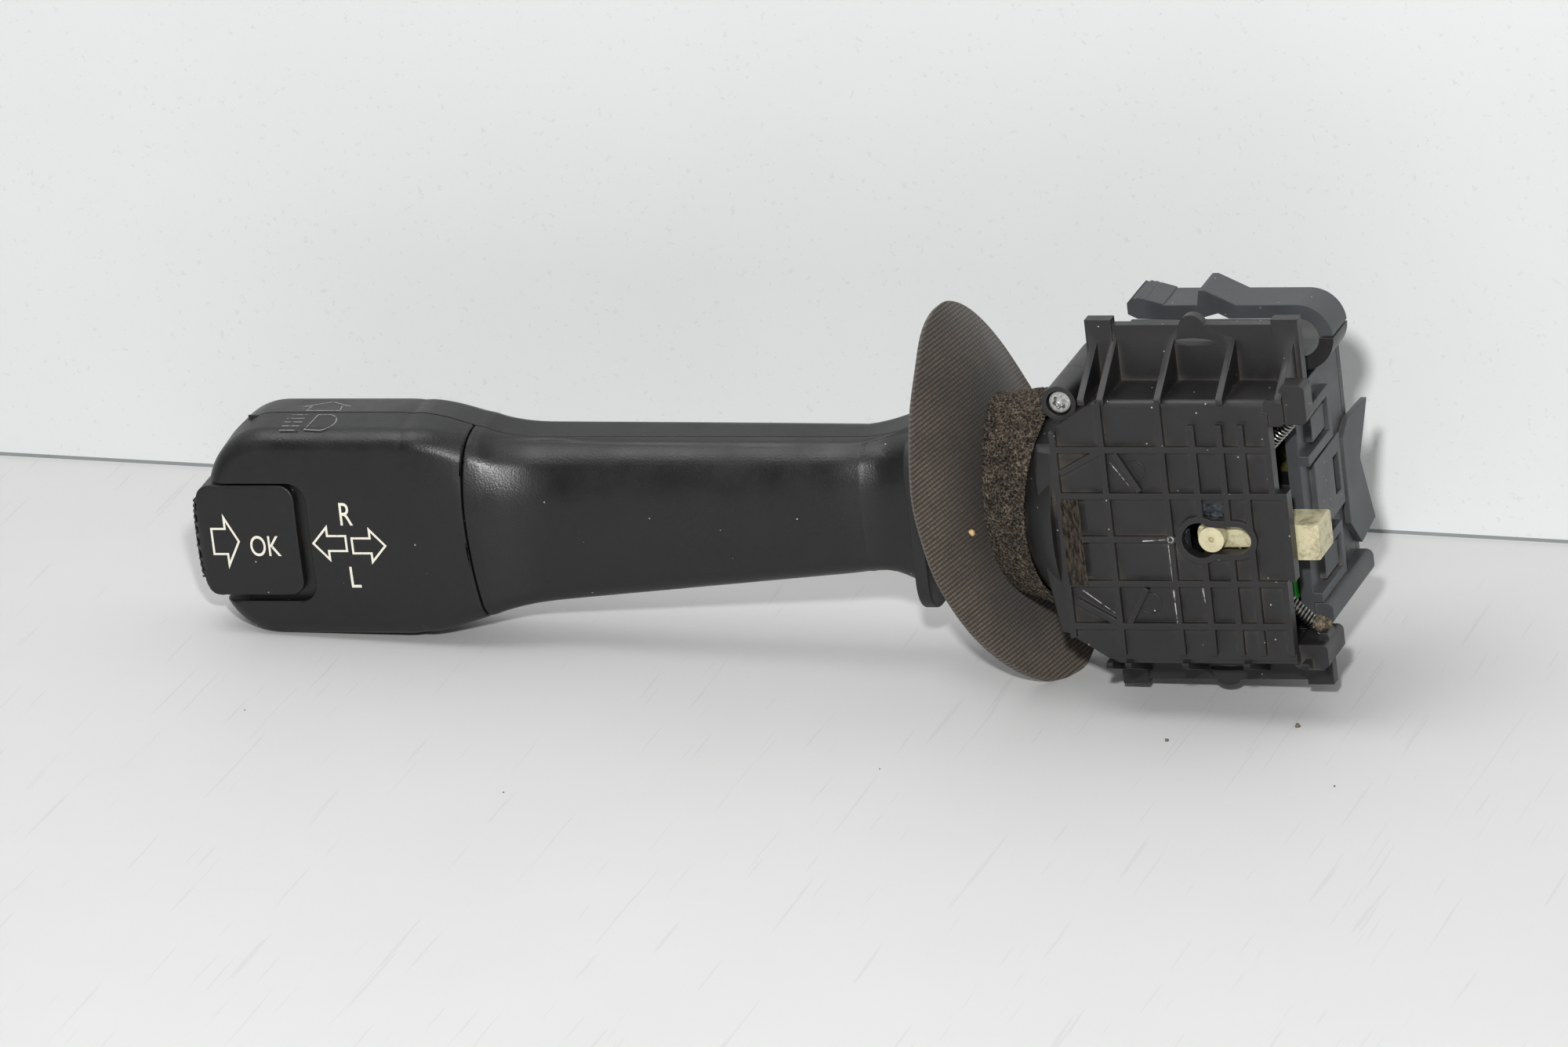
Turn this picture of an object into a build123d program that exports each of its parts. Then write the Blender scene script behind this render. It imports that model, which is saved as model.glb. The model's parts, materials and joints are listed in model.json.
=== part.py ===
from build123d import *
import math
import os

# Combination stalk switch for a steering column. Millimetres.
#
# Every piece is built around the pivot, where the two swing axes of the stalk cross:
# +X runs along the stalk into the switch housing, +Z is up and -Y faces the driver.
# At the end everything moves by AXIS_Y, so that the frame's origin is the point of the
# housing's rear seating face that lies straight behind the pivot.

# ---- Whole switch ---------------------------------------------------------------------
AXIS_Y = -22.0  # stalk axis, measured from the rear seating face
RUNNING_GAP = 0.3  # between pieces that move past each other
SEAM_GAP = 0.2  # between mouldings that meet at a visible seam
FIT = 0.1  # between pieces that are assembled together
PIN_CLEARANCE = 0.05  # radial, between a hinge pin and its bore

# ---- Travel ---------------------------------------------------------------------------
TURN_ANGLE = 8.0  # each way, about Y
BEAM_ANGLE = 5.0  # each way, about Z
BUTTON_TRAVEL = 1.8
FINGER_OUT = 4.0
FINGER_IN = 1.5

# ---- Stalk: head, shaft and collar ----------------------------------------------------
HEAD_END_X = -159.0
HEAD_TOP = 13.75
HEAD_BOTTOM = -22.1
HEAD_HALF_THICK = 9.0
HEAD_CORNER_TOP = 11.0
HEAD_CORNER_BOTTOM = 10.0
NECKING_START_X = -124.0  # the head narrows to the shaft between these two
NECKING_END_X = -111.5
NECKING_RADIUS = 20.0
SHAFT_TOP = 10.3
SHAFT_BOTTOM_HEAD = -18.2  # underside where the shaft meets the head
SHAFT_BOTTOM_COLLAR = -11.9
SHAFT_HALF_THICK_HEAD = 7.6
SHAFT_HALF_THICK_COLLAR = 6.4
COLLAR_START_X = -46.0
COLLAR_X = -37.0  # end face of the stalk covers
COLLAR_FLARE = 2.2  # how far the covers flare out at the collar
COLLAR_FLARE_RADIUS = 7.0
EDGE_RADIUS = 3.0
COVER_WALL = 1.8
CROSS_SEAM_X = -114.0  # head cover meets shaft cover
CROSS_SEAM_RADIUS = 118.0

# ---- Tip button -----------------------------------------------------------------------
BUTTON_TIP_X = -162.5
BUTTON_FACE_LENGTH = 19.0
BUTTON_TOP = 4.9
BUTTON_BOTTOM = -14.4
BUTTON_CORNER = 2.6
BUTTON_SKIN = 1.5
BUTTON_PLUG_INSET = 3.6  # plug edge behind the skin's edge, along the stalk
BUTTON_SHELF = 1.1  # width of the shelf round the plug
BUTTON_REAR_Y = 5.5  # how far the button's end wraps towards the rear shell
BUTTON_BULGE_RADIUS = 30.0
SERRATION_PITCH = 1.06
SERRATION_DEPTH = 0.4
SERRATION_COUNT = 15
BOARD_THICK = 1.4
BOARD_X = (-144.8, -122.0)
BOARD_Z = (-12.0, 3.0)
BUTTON_SPRING_RADIUS = 2.0
BUTTON_SPRING_Y = -3.4
SWITCH_SIZE = 4.4

# ---- Lever core and swivel ------------------------------------------------------------
CORE_START_X = -136.0
CORE_HALF_Y = 2.2
CORE_HALF_Z = 3.6
CORE_RIB_THICK = 3.0
CORE_RIB_XS = (-128.0, -100.0, -72.0, -48.0)
NECK_RADIUS = 4.6
TONGUE_HALF_Y = 4.6
TONGUE_HALF_Z = 3.4
TONGUE_START_X = -9.0
BEAM_PIN_RADIUS = 1.5
YOKE_START_X = -7.0
YOKE_WEB = 2.5
YOKE_HALF_Y = 9.0
YOKE_HALF_Z = 7.5
YOKE_SIDE = 2.2
TRUNNION_RADIUS = 2.5
TRUNNION_LENGTH = 4.5
DRIVE_PIN_X = 18.2
DRIVE_PIN_Z = -11.0
DRIVE_PIN_RADIUS = 1.2
DRIVE_ARM_THICK = 3.0
DETENT_ARM_LENGTH = 5.0
DETENT_ARM_HALF = 3.2
PLUNGER_RADIUS = 1.5
PLUNGER_TIP_X = 18.4
PLUNGER_LENGTH = 8.0
PLUNGER_TRAVEL = 0.8
DETENT_VALLEY = 0.3

# ---- Collar flange, fabric seal and foam ring -----------------------------------------
FLANGE_THICK = 2.4
FLANGE_HALF_Y = 9.6
FLANGE_TOP = 12.8
FLANGE_BOTTOM = -17.5
HUB_HALF_Y = 8.0
HUB_HALF_Z = 9.5
SEAL_HALF_Y = 20.8
SEAL_HALF_Z = 31.4
SEAL_THICK = 1.8
SEAL_CENTRE_X = -22.4  # housing side of the dish, on the axis
SEAL_BEND_Y = 36.0  # radius of the dish across its width
SEAL_BEND_Z = 170.0  # radius of the dish over its height
SEAL_TILT_Z = 10.2  # degrees: driver's side of the rim leans towards the tip
SEAL_TILT_Y = -10.5  # degrees: top of the rim leans towards the tip
FOAM_HALF_Y = 14.0
FOAM_HALF_Z = 17.4

# ---- Housing: nose, base and cover ----------------------------------------------------
NOSE_RADIUS = 21.0
NOSE_WALL = 2.2
NECK_GAP = 1.1  # between the neck at its end stops and the nose's opening
NOSE_CUT_HALF_Z = 11.5  # opening of the housing behind the nose
HOUSING_LEFT_X = -8.6
HOUSING_RIGHT_X = 29.0
HOUSING_HALF_Z = 22.6
HOUSING_WALL = 1.8
COVER_FRONT_Y = -18.0  # crest of the ribs
COVER_BACK_Y = -5.2
RIB_HEIGHT = 1.0
RIB_THICK = 1.0
PLATE_THICK = 1.5
PLATE_RIGHT_X = 30.2  # right edge beside the finger; it steps back above and below
PLATE_UPPER_X = 28.3
PLATE_LOWER_X = 28.8
CORNER_CUT_X = 7.6  # chamfers at the two left corners of the cover
CORNER_CUT_Z = 5.0
RIB_ROWS = (14.6, 6.7, -0.7, -8.3, -15.6)  # z of the horizontal ribs
SHORT_ROW = 2  # the row that stops at the slot
RIB_COLUMNS = (0.0, 10.0, 15.3, 19.9, 23.5)  # x of the upright ribs
STUB_COLUMNS = (10.0, 15.3, 19.9, 23.5)
STUB_LENGTH = 4.2
STAMP_RECESS = 0.5
SLOT_HALF_Z = 2.35
SLOT_BIG_RADIUS = 3.0
SLOT_RIM = 1.0
RAIL_Y = -6.1  # mid plane of the guide rails
RAIL_THICK = 1.8
RAIL_HEIGHT = 9.4  # top of the rail above the housing's top
RAIL_X = (-4.0, 31.6)
RAIL_END_BLOCK = 4.4
RAIL_END_RISE = 1.0
RAIL_WINDOW_X = (10.0, 17.4)
RAIL_WINDOW_DROP = 2.9
RAIL_WINDOW_HALF = 0.6
RAIL_BUMP_RADIUS = 2.2
GUSSET_XS = (-2.7, 0.5, 10.1, 20.4, 30.2)
GUSSET_THICK = 1.1
GUSSET_DROP = 2.0  # top of the gusset below the top of the rail
SCREW_X = -7.3
SCREW_DROP = 1.1  # screw axis below the housing's top
SCREW_BOSS_RADIUS = 2.9
SCREW_HEAD_RADIUS = 2.0
SCREW_HEAD_HEIGHT = 1.5
SCREW_SHANK_RADIUS = 1.1
SCREW_SEAT_Y = -12.5
SCREW_LENGTH = 12.0
LOBE_X = (30.2, 34.4)
LOBE_DROP = 4.2  # lower edge of the lobes below the housing's top
LOBE_RISE = 2.4
BEARING_RADIUS = 5.2
SOCKET_X = (-4.0, 18.0)
SOCKET_Z = (-17.0, -7.5)
SOCKET_DEPTH = 9.2
TERMINAL_COUNT = 7
TERMINAL_ROWS = 2
TERMINAL_SIZE = 0.8
TERMINAL_LENGTH = 6.5

# ---- Right end of the housing ---------------------------------------------------------
END_PLATE_THICK = 2.2
END_PLATE_FRONT_Y = -5.5
END_PLATE_INSET = 1.8  # edge of the end plate inside the base's walls
END_RAIL_OUT = 2.9  # rounded rail along the foot of the end plate
END_RAIL_DROP = (2.4, 6.2)  # its two sides, above the housing's underside
END_RAIL_BACK_Y = 20.0
END_RIM_HEIGHT = 1.6
END_RIM_THICK = 1.7
END_FRAME_Y = (-5.5, 9.0)
END_FRAME_Z = (7.2, 16.2)
END_WINDOW_Y = (9.4, 12.4)
END_WINDOW_HALF_Z = 3.2
LEAF_THICK = 1.1
LEAF_ROOT_Y = 15.0
LEAF_TOP = (30.5, 6.0)
LEAF_WAIST = (23.6, -2.0)
LEAF_BOTTOM = (28.8, -14.2)

# ---- Latch arm ------------------------------------------------------------------------
ARM_Y = (3.0, 11.5)
ARM_THICK = 2.4
BEND_X = 28.5
BEND_RISE = 3.6  # centre of the U-bend above the housing's top
BEND_INNER = 3.2
ARM_TIP_X = 0.0
TOOTH_X = (11.8, 18.4)
TOOTH_HEIGHT = 2.5
GRIP_LENGTH = 6.2
GRIP_RISE = 1.3
GRIP_GROOVES = 5

# ---- Cancel finger, its pin and springs -----------------------------------------------
PEG_X = 16.7
PEG_Z = -0.8
PEG_RADIUS = 2.15
PEG_STUB_RADIUS = 1.4
FINGER_THICK = 2.6
FINGER_BLOCK_X = (27.6, 34.0)
FINGER_BLOCK_BACK_Y = -7.6
FINGER_BLOCK_Z = (-5.2, 0.8)
FINGER_ARM_HALF = 2.2
CROSSBAR_THICK = 1.2
CROSSBAR_END_X = 19.6
CROSSBAR_HALF_Z = 6.6
SPRING_RADIUS = 1.2
SPRING_POST_X = 32.3
SPRING_POST_DROP = 3.3
POST_RADIUS = 0.9
LOBE_DEPTH = 4.4

# ---- Contacts -------------------------------------------------------------------------
SLIDER_X = (14.6, 26.5)
SLIDER_Y = (-7.3, -4.5)
SLIDER_HALF_Z = 4.4
SLIDER_STEM_X = 22.6
SLIDER_PLAY = 0.25  # above and below the drive pin in the slider's slot
WIPER_THICK = 0.6
CONTACT_BOARD_X = (9.6, 26.4)

# ---- Worked out -----------------------------------------------------------------------
BUTTON_BACK_X = BUTTON_TIP_X + BUTTON_FACE_LENGTH
POCKET_X = BUTTON_BACK_X + BUTTON_TRAVEL + SEAM_GAP
POCKET_TOP = BUTTON_TOP + 0.25
POCKET_BOTTOM = BUTTON_BOTTOM - 1.1
BUTTON_MID_Z = (BUTTON_TOP + BUTTON_BOTTOM) / 2
PLUG_END_X = BUTTON_BACK_X - BUTTON_PLUG_INSET
SHAFT_MID_Z = (SHAFT_TOP + SHAFT_BOTTOM_COLLAR) / 2
YOKE_END_X = TONGUE_HALF_Y + RUNNING_GAP + YOKE_WEB + 2.2
PLATE_BACK_Y = COVER_FRONT_Y + RIB_HEIGHT + PLATE_THICK
FINGER_FRONT_Y = PLATE_BACK_Y + RUNNING_GAP
FINGER_BACK_Y = FINGER_FRONT_Y + FINGER_THICK
SPRING_Y = FINGER_BACK_Y + RUNNING_GAP + SPRING_RADIUS + FIT
SEAT_Y = -AXIS_Y
CONTACT_BOARD_Y = YOKE_HALF_Y + RUNNING_GAP + 0.2
SLIDER_STEM_BACK_Y = CONTACT_BOARD_Y - WIPER_THICK - FIT
END_PLATE_X = HOUSING_RIGHT_X - END_PLATE_THICK
NOSE_OPENING_Y = NECK_RADIUS + NOSE_RADIUS * math.sin(math.radians(BEAM_ANGLE)) + NECK_GAP
NOSE_OPENING_Z = NECK_RADIUS + NOSE_RADIUS * math.sin(math.radians(TURN_ANGLE)) + NECK_GAP
PLATE_STEP_Z = (RIB_ROWS[3] + RIB_THICK / 2, RIB_ROWS[1] + RIB_THICK / 2)
# centres of the two rounded ends of the peg slot
SLOT_X = (PEG_X - FINGER_IN - RUNNING_GAP, PEG_X + FINGER_OUT + RUNNING_GAP + FIT)
RAIL_TOP = HOUSING_HALF_Z + RAIL_HEIGHT
RAIL_WINDOW_Z = RAIL_TOP - RAIL_WINDOW_DROP
SCREW_Z = HOUSING_HALF_Z - SCREW_DROP
LOBE_Z = (HOUSING_HALF_Z - LOBE_DROP, HOUSING_HALF_Z + LOBE_RISE)
END_PLATE_HALF_Z = HOUSING_HALF_Z - HOUSING_WALL - END_PLATE_INSET
SPRING_POST_Z = HOUSING_HALF_Z - SPRING_POST_DROP
BEND_Z = HOUSING_HALF_Z + BEND_RISE
BEND_OUTER = BEND_INNER + ARM_THICK
ARM_TOP = BEND_Z + BEND_OUTER


def block(x_range, y_range, z_range):
    """Box between three pairs of limits."""
    low = (x_range[0], y_range[0], z_range[0])
    box = Box(
        x_range[1] - x_range[0],
        y_range[1] - y_range[0],
        z_range[1] - z_range[0],
        align=(Align.MIN, Align.MIN, Align.MIN),
    )
    return Pos(*low) * box


def side_plane(y):
    """Plane seen from the driver: local x is X, local y is Z."""
    return Plane(origin=(0, y, 0), x_dir=(1, 0, 0), z_dir=(0, -1, 0))


def prism_y(face, y_range):
    """Face drawn in X and Z, carried from the rear y to the front y."""
    placed = side_plane(y_range[1]) * face
    return extrude(placed, amount=y_range[1] - y_range[0], dir=(0, -1, 0))


def prism_x(face, x_range):
    """Face drawn in Y and Z, carried along X."""
    placed = Plane.YZ.offset(x_range[0]) * face
    return extrude(placed, amount=x_range[1] - x_range[0], dir=(1, 0, 0))


def prism_z(face, z_range):
    """Face drawn in X and Y, carried along Z."""
    placed = Plane.XY.offset(z_range[0]) * face
    return extrude(placed, amount=z_range[1] - z_range[0], dir=(0, 0, 1))


def polygon(*points):
    return make_face(Polyline(*points, close=True))


def rounded_polygon(points, radii):
    return make_face(FilletPolyline(*points, radius=radii, close=True))


def disc_y(x, z, radius, y_range):
    """Cylinder along Y."""
    return prism_y(Pos(x, z) * Circle(radius), y_range)


def rod(start, end, radius):
    """Straight cylinder between two points."""
    path = Line(start, end)
    section = Plane(origin=start, z_dir=Vector(*end) - Vector(*start)) * Circle(radius)
    return extrude(section, amount=path.length, dir=Vector(*end) - Vector(*start))


def rounded_box_face(x_range, z_range, radius):
    width = x_range[1] - x_range[0]
    height = z_range[1] - z_range[0]
    centre = Pos((x_range[0] + x_range[1]) / 2, (z_range[0] + z_range[1]) / 2)
    return centre * RectangleRounded(width, height, radius)


# ---- Stalk covers ---------------------------------------------------------------------


def stalk_form(inset=0.0):
    """Outer form of head, shaft and collar, or the same form moved inwards by inset."""
    flare_x = COLLAR_X + 6
    flare = COLLAR_FLARE * (flare_x - COLLAR_START_X) / (COLLAR_X - COLLAR_START_X)
    side = rounded_polygon(
        [
            (HEAD_END_X + inset, HEAD_BOTTOM + inset),
            (HEAD_END_X + inset, HEAD_TOP - inset),
            (NECKING_START_X, HEAD_TOP - inset),
            (NECKING_END_X, SHAFT_TOP - inset),
            (COLLAR_START_X, SHAFT_TOP - inset),
            (flare_x, SHAFT_TOP + flare - inset),
            (flare_x, SHAFT_BOTTOM_COLLAR - flare + inset),
            (COLLAR_START_X, SHAFT_BOTTOM_COLLAR + inset),
            (NECKING_END_X, SHAFT_BOTTOM_HEAD + inset),
            (NECKING_START_X, HEAD_BOTTOM + inset),
        ],
        [
            HEAD_CORNER_BOTTOM - inset,
            HEAD_CORNER_TOP - inset,
            NECKING_RADIUS,
            NECKING_RADIUS,
            COLLAR_FLARE_RADIUS,
            1.0,
            1.0,
            COLLAR_FLARE_RADIUS,
            NECKING_RADIUS,
            NECKING_RADIUS,
        ],
    )
    head_y = HEAD_HALF_THICK - inset
    neck_y = SHAFT_HALF_THICK_HEAD - inset
    thin_y = SHAFT_HALF_THICK_COLLAR - inset
    outline = [
        (HEAD_END_X - 5, head_y),
        (NECKING_START_X, head_y),
        (NECKING_END_X, neck_y),
        (COLLAR_START_X, thin_y),
        (flare_x, thin_y + flare),
    ]
    mirrored = [(x, -y) for x, y in reversed(outline)]
    radii = [1.0, NECKING_RADIUS, NECKING_RADIUS, COLLAR_FLARE_RADIUS, 1.0]
    plan = rounded_polygon(outline + mirrored, radii + radii[::-1])
    form = prism_y(side, (-HEAD_HALF_THICK - 5, HEAD_HALF_THICK + 5))
    form &= prism_z(plan, (HEAD_BOTTOM - 5, HEAD_TOP + 5))
    form &= block((HEAD_END_X - 5, COLLAR_X), (-30, 30), (-40, 40))
    return form


def rounded_stalk():
    """Outer form with its long edges rounded; each edge chain starts at the tip."""
    form = stalk_form()
    upright = form.edges().filter_by(Axis.Z)
    tip_edges = upright.group_by(Axis.X)[0]
    return fillet(tip_edges, EDGE_RADIUS)


def button_pocket():
    """Space in the covers that the tip button moves in."""
    reach = HEAD_END_X - 10
    face = rounded_box_face((reach, POCKET_X), (POCKET_BOTTOM, POCKET_TOP), BUTTON_CORNER + 0.6)
    shelf = prism_y(face, (-HEAD_HALF_THICK - 5, -HEAD_HALF_THICK + BUTTON_SKIN + FIT))
    plug_end = PLUG_END_X + BUTTON_TRAVEL + RUNNING_GAP
    deep_z = (BUTTON_BOTTOM + BUTTON_SHELF - RUNNING_GAP, BUTTON_TOP - BUTTON_SHELF + RUNNING_GAP)
    deep = block((reach, plug_end), (-HEAD_HALF_THICK - 5, 0), deep_z)
    end_z = (POCKET_BOTTOM, POCKET_TOP)
    end_x = HEAD_END_X + COVER_WALL + BUTTON_TRAVEL + 1.0
    end = block((reach, end_x), (-HEAD_HALF_THICK - 5, BUTTON_REAR_Y + RUNNING_GAP), end_z)
    return shelf + deep + end


def seam_cylinder(offset):
    """Bowed cut between head cover and shaft cover."""
    centre_x = CROSS_SEAM_X + CROSS_SEAM_RADIUS
    return disc_y(centre_x, 0, CROSS_SEAM_RADIUS + offset, (-30, 30))


def make_rear_shell():
    shell = rounded_stalk() - stalk_form(COVER_WALL)
    shell &= block((HEAD_END_X - 5, COLLAR_X), (SEAM_GAP / 2, 30), (-40, 40))
    return shell - button_pocket()


def front_half():
    shell = rounded_stalk() - stalk_form(COVER_WALL)
    return shell & block((HEAD_END_X - 5, COLLAR_X), (-30, -SEAM_GAP / 2), (-40, 40))


def make_head_front_cover():
    # The shelf that shows round the button's inner edge is a pad behind the wall.
    pad_face = rounded_box_face(
        (HEAD_END_X + COVER_WALL, POCKET_X + COVER_WALL),
        (POCKET_BOTTOM - COVER_WALL, POCKET_TOP + COVER_WALL),
        BUTTON_CORNER,
    )
    pad = prism_y(pad_face, (-HEAD_HALF_THICK + BUTTON_SKIN, -HEAD_HALF_THICK + 2 * BUTTON_SKIN + 0.4))
    pad &= stalk_form(COVER_WALL / 2)
    cover = front_half() + pad
    return cover - seam_cylinder(SEAM_GAP / 2) - button_pocket()


def make_shaft_front_cover():
    return front_half() & seam_cylinder(-SEAM_GAP / 2)


# ---- Tip button -----------------------------------------------------------------------


def button_tip_form():
    """Stalk form reaching out to the button's tip, bulged at its end."""
    reach = HEAD_END_X - BUTTON_TIP_X
    form = Pos(-reach, 0, 0) * rounded_stalk()
    bulge = disc_y(BUTTON_TIP_X + BUTTON_BULGE_RADIUS, BUTTON_MID_Z, BUTTON_BULGE_RADIUS, (-30, 30))
    return form & bulge


def serrations():
    """Grooves across the button's end, spaced evenly about its middle."""
    cuts = []
    for index in range(SERRATION_COUNT):
        z = BUTTON_MID_Z + (index - (SERRATION_COUNT - 1) / 2) * SERRATION_PITCH
        rise = z - BUTTON_MID_Z
        x = BUTTON_TIP_X + BUTTON_BULGE_RADIUS - math.sqrt(BUTTON_BULGE_RADIUS**2 - rise**2)
        half = SERRATION_PITCH * 0.38
        groove = polygon((x - 0.6, z - half - 0.2), (x - 0.6, z + half + 0.2), (x + SERRATION_DEPTH, z))
        cuts.append(prism_y(groove, (-30, 30)))
    return cuts


def make_tip_button():
    z_range = (BUTTON_BOTTOM, BUTTON_TOP)
    face = rounded_box_face((BUTTON_TIP_X - 12, BUTTON_BACK_X), z_range, BUTTON_CORNER)
    skin = prism_y(face, (-30, -HEAD_HALF_THICK + BUTTON_SKIN))
    plug_z = (BUTTON_BOTTOM + BUTTON_SHELF, BUTTON_TOP - BUTTON_SHELF)
    plug = block((BUTTON_TIP_X - 1, PLUG_END_X), (-HEAD_HALF_THICK, -SEAM_GAP), plug_z)
    end_x = (BUTTON_TIP_X - 1, HEAD_END_X + COVER_WALL + 0.6)
    end = block(end_x, (-30, BUTTON_REAR_Y), z_range)
    button = (skin + plug + end) & button_tip_form()
    return button - serrations()


def make_button_board():
    """Small circuit board that stands upright in the head, behind the button."""
    board = block(BOARD_X, (-BOARD_THICK / 2, BOARD_THICK / 2), BOARD_Z)
    return board - block((CORE_START_X, BOARD_X[1] + 1), (-30, 30), (BUTTON_MID_Z - 2, BUTTON_MID_Z + 2))


def make_button_switch():
    """Push switch on the board, with its plunger towards the button."""
    top = BOARD_X[0] + SWITCH_SIZE
    half = SWITCH_SIZE / 2
    body = block((BOARD_X[0], top), (-BOARD_THICK / 2 - 3.2, -BOARD_THICK / 2), (-half, half))
    return Pos(0, 0, BUTTON_MID_Z + 4.5) * body


def make_button_spring():
    """Outer form of the coil spring between the button's plug and the core."""
    start = (PLUG_END_X + FIT, BUTTON_SPRING_Y, BUTTON_MID_Z)
    end = (CORE_START_X - FIT, BUTTON_SPRING_Y, BUTTON_MID_Z)
    return rod(start, end, BUTTON_SPRING_RADIUS)


# ---- Lever core, collar and seal ------------------------------------------------------


def core_rib(x):
    """Cross rib that fills the covers and locates them on the core."""
    slab = block((x, x + CORE_RIB_THICK), (-30, 30), (-40, 40))
    return slab & stalk_form(COVER_WALL + FIT)


def make_lever_core():
    mid = SHAFT_MID_Z * 0.5
    bar = block((CORE_START_X, COLLAR_X), (-CORE_HALF_Y, CORE_HALF_Y), (mid - CORE_HALF_Z, mid + CORE_HALF_Z))
    core = bar
    for x in CORE_RIB_XS:
        core += core_rib(x)
    spring_seat = block(
        (CORE_START_X, CORE_START_X + CORE_RIB_THICK),
        (-HEAD_HALF_THICK + 2.2, CORE_HALF_Y),
        (BUTTON_MID_Z - 3.0, mid + CORE_HALF_Z),
    )
    core += spring_seat
    core += prism_x(Circle(NECK_RADIUS), (COLLAR_X - 4, TONGUE_START_X))
    tongue_x = (TONGUE_START_X - 2, 0)
    tongue = block(tongue_x, (-TONGUE_HALF_Y, TONGUE_HALF_Y), (-TONGUE_HALF_Z, TONGUE_HALF_Z))
    tongue += prism_z(Circle(TONGUE_HALF_Y), (-TONGUE_HALF_Z, TONGUE_HALF_Z))
    core += tongue
    bore = prism_z(Circle(BEAM_PIN_RADIUS + PIN_CLEARANCE), (-20, 20))
    half_slot = BOARD_THICK / 2 + FIT
    slot_z = (BOARD_Z[0] - 1, BOARD_Z[1] + 1)
    return core - bore - block((BOARD_X[0], BOARD_X[1] + FIT), (-half_slot, half_slot), slot_z)


def make_collar_flange():
    """Oval flange on the end of the covers, with the hub that carries the seal."""
    x_range = (COLLAR_X + FIT, COLLAR_X + FLANGE_THICK)
    face = rounded_box_face((-FLANGE_HALF_Y, FLANGE_HALF_Y), (FLANGE_BOTTOM, FLANGE_TOP), FLANGE_HALF_Y * 0.6)
    flange = prism_x(face, x_range)
    hub = prism_x(Ellipse(HUB_HALF_Y, HUB_HALF_Z), (COLLAR_X + FIT, SEAL_CENTRE_X))
    hub &= dish_form(-SEAL_THICK - RUNNING_GAP)
    mid = SHAFT_MID_Z * 0.5
    passage = block(
        (COLLAR_X - 1, COLLAR_X + FLANGE_THICK + 1),
        (-CORE_HALF_Y - FIT, CORE_HALF_Y + FIT),
        (mid - CORE_HALF_Z - FIT, mid + CORE_HALF_Z + FIT),
    )
    passage += prism_x(Circle(NECK_RADIUS + FIT), (COLLAR_X - 5, 0))
    return flange + hub - passage


def tilt_seal(shape):
    """Lean a shape of the seal about the middle of the dish."""
    centre = Pos(SEAL_CENTRE_X, 0, 0)
    return centre * Rot(0, SEAL_TILT_Y, -SEAL_TILT_Z) * centre.inverse() * shape


def dish_form(offset):
    """Ring whose outer bulge, seen from the housing, is the dish moved out by offset."""
    major = SEAL_BEND_Z - SEAL_BEND_Y
    ring = Rot(90, 0, 0) * Torus(major, SEAL_BEND_Y + offset)
    return tilt_seal(Pos(SEAL_CENTRE_X - SEAL_BEND_Z, 0, 0) * ring)


def make_seal_disc():
    """Dished oval of fabric-faced foam."""
    reach = (SEAL_CENTRE_X - SEAL_BEND_Y / 2, SEAL_CENTRE_X + 5)
    oval = tilt_seal(prism_x(Ellipse(SEAL_HALF_Y, SEAL_HALF_Z), reach))
    dish = dish_form(0) - dish_form(-SEAL_THICK)
    hole = prism_x(Circle(NECK_RADIUS + RUNNING_GAP), (COLLAR_X, 0))
    return (dish & oval) - hole


def make_seal_foam_ring():
    """Foam ring between the dish and the housing's round nose."""
    ring = prism_x(Ellipse(FOAM_HALF_Y, FOAM_HALF_Z), (SEAL_CENTRE_X - 8, -NOSE_RADIUS * 0.45))
    ring -= dish_form(FIT)
    ring -= Sphere(NOSE_RADIUS + RUNNING_GAP + FIT)
    return ring - prism_x(Circle(NECK_RADIUS + RUNNING_GAP), (COLLAR_X, 0))


# ---- Swivel ---------------------------------------------------------------------------


def make_swivel_yoke():
    body = block((YOKE_START_X, YOKE_END_X), (-YOKE_HALF_Y, YOKE_HALF_Y), (-YOKE_HALF_Z, YOKE_HALF_Z))
    inner_y = YOKE_HALF_Y - YOKE_SIDE
    inner_z = TONGUE_HALF_Z + RUNNING_GAP
    body -= block((YOKE_START_X - 1, YOKE_END_X - YOKE_WEB), (-inner_y, inner_y), (-inner_z, inner_z))
    body -= prism_z(Circle(BEAM_PIN_RADIUS), (-20, 20))
    arm = (-DETENT_ARM_HALF, DETENT_ARM_HALF)
    body += block((YOKE_END_X - 0.5, YOKE_END_X + DETENT_ARM_LENGTH), arm, arm)
    trunnion_end = YOKE_HALF_Y + TRUNNION_LENGTH
    for side in (-1, 1):
        span = sorted((side * (YOKE_HALF_Y - 0.5), side * trunnion_end))
        body += disc_y(0, 0, TRUNNION_RADIUS, span)
    drive_y = (SLIDER_Y[1] + RUNNING_GAP, SLIDER_Y[1] + RUNNING_GAP + DRIVE_ARM_THICK)
    body += block((YOKE_END_X - 7, YOKE_END_X), drive_y, (DRIVE_PIN_Z - 1.8, -YOKE_HALF_Z + 0.5))
    drive_x = (YOKE_END_X - 7, DRIVE_PIN_X + DRIVE_PIN_RADIUS + 0.4)
    body += block(drive_x, drive_y, (DRIVE_PIN_Z - 1.8, DRIVE_PIN_Z + 1.8))
    body += disc_y(DRIVE_PIN_X, DRIVE_PIN_Z, DRIVE_PIN_RADIUS, (SLIDER_Y[0] + 0.6, drive_y[0] + 0.5))
    bore_start = PLUNGER_TIP_X - PLUNGER_LENGTH - 2 * PLUNGER_TRAVEL
    return body - prism_x(Circle(PLUNGER_RADIUS + PIN_CLEARANCE), (bore_start, PLUNGER_TIP_X))


def make_beam_pivot_pin():
    return prism_z(Circle(BEAM_PIN_RADIUS), (-YOKE_HALF_Z, YOKE_HALF_Z))


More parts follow.
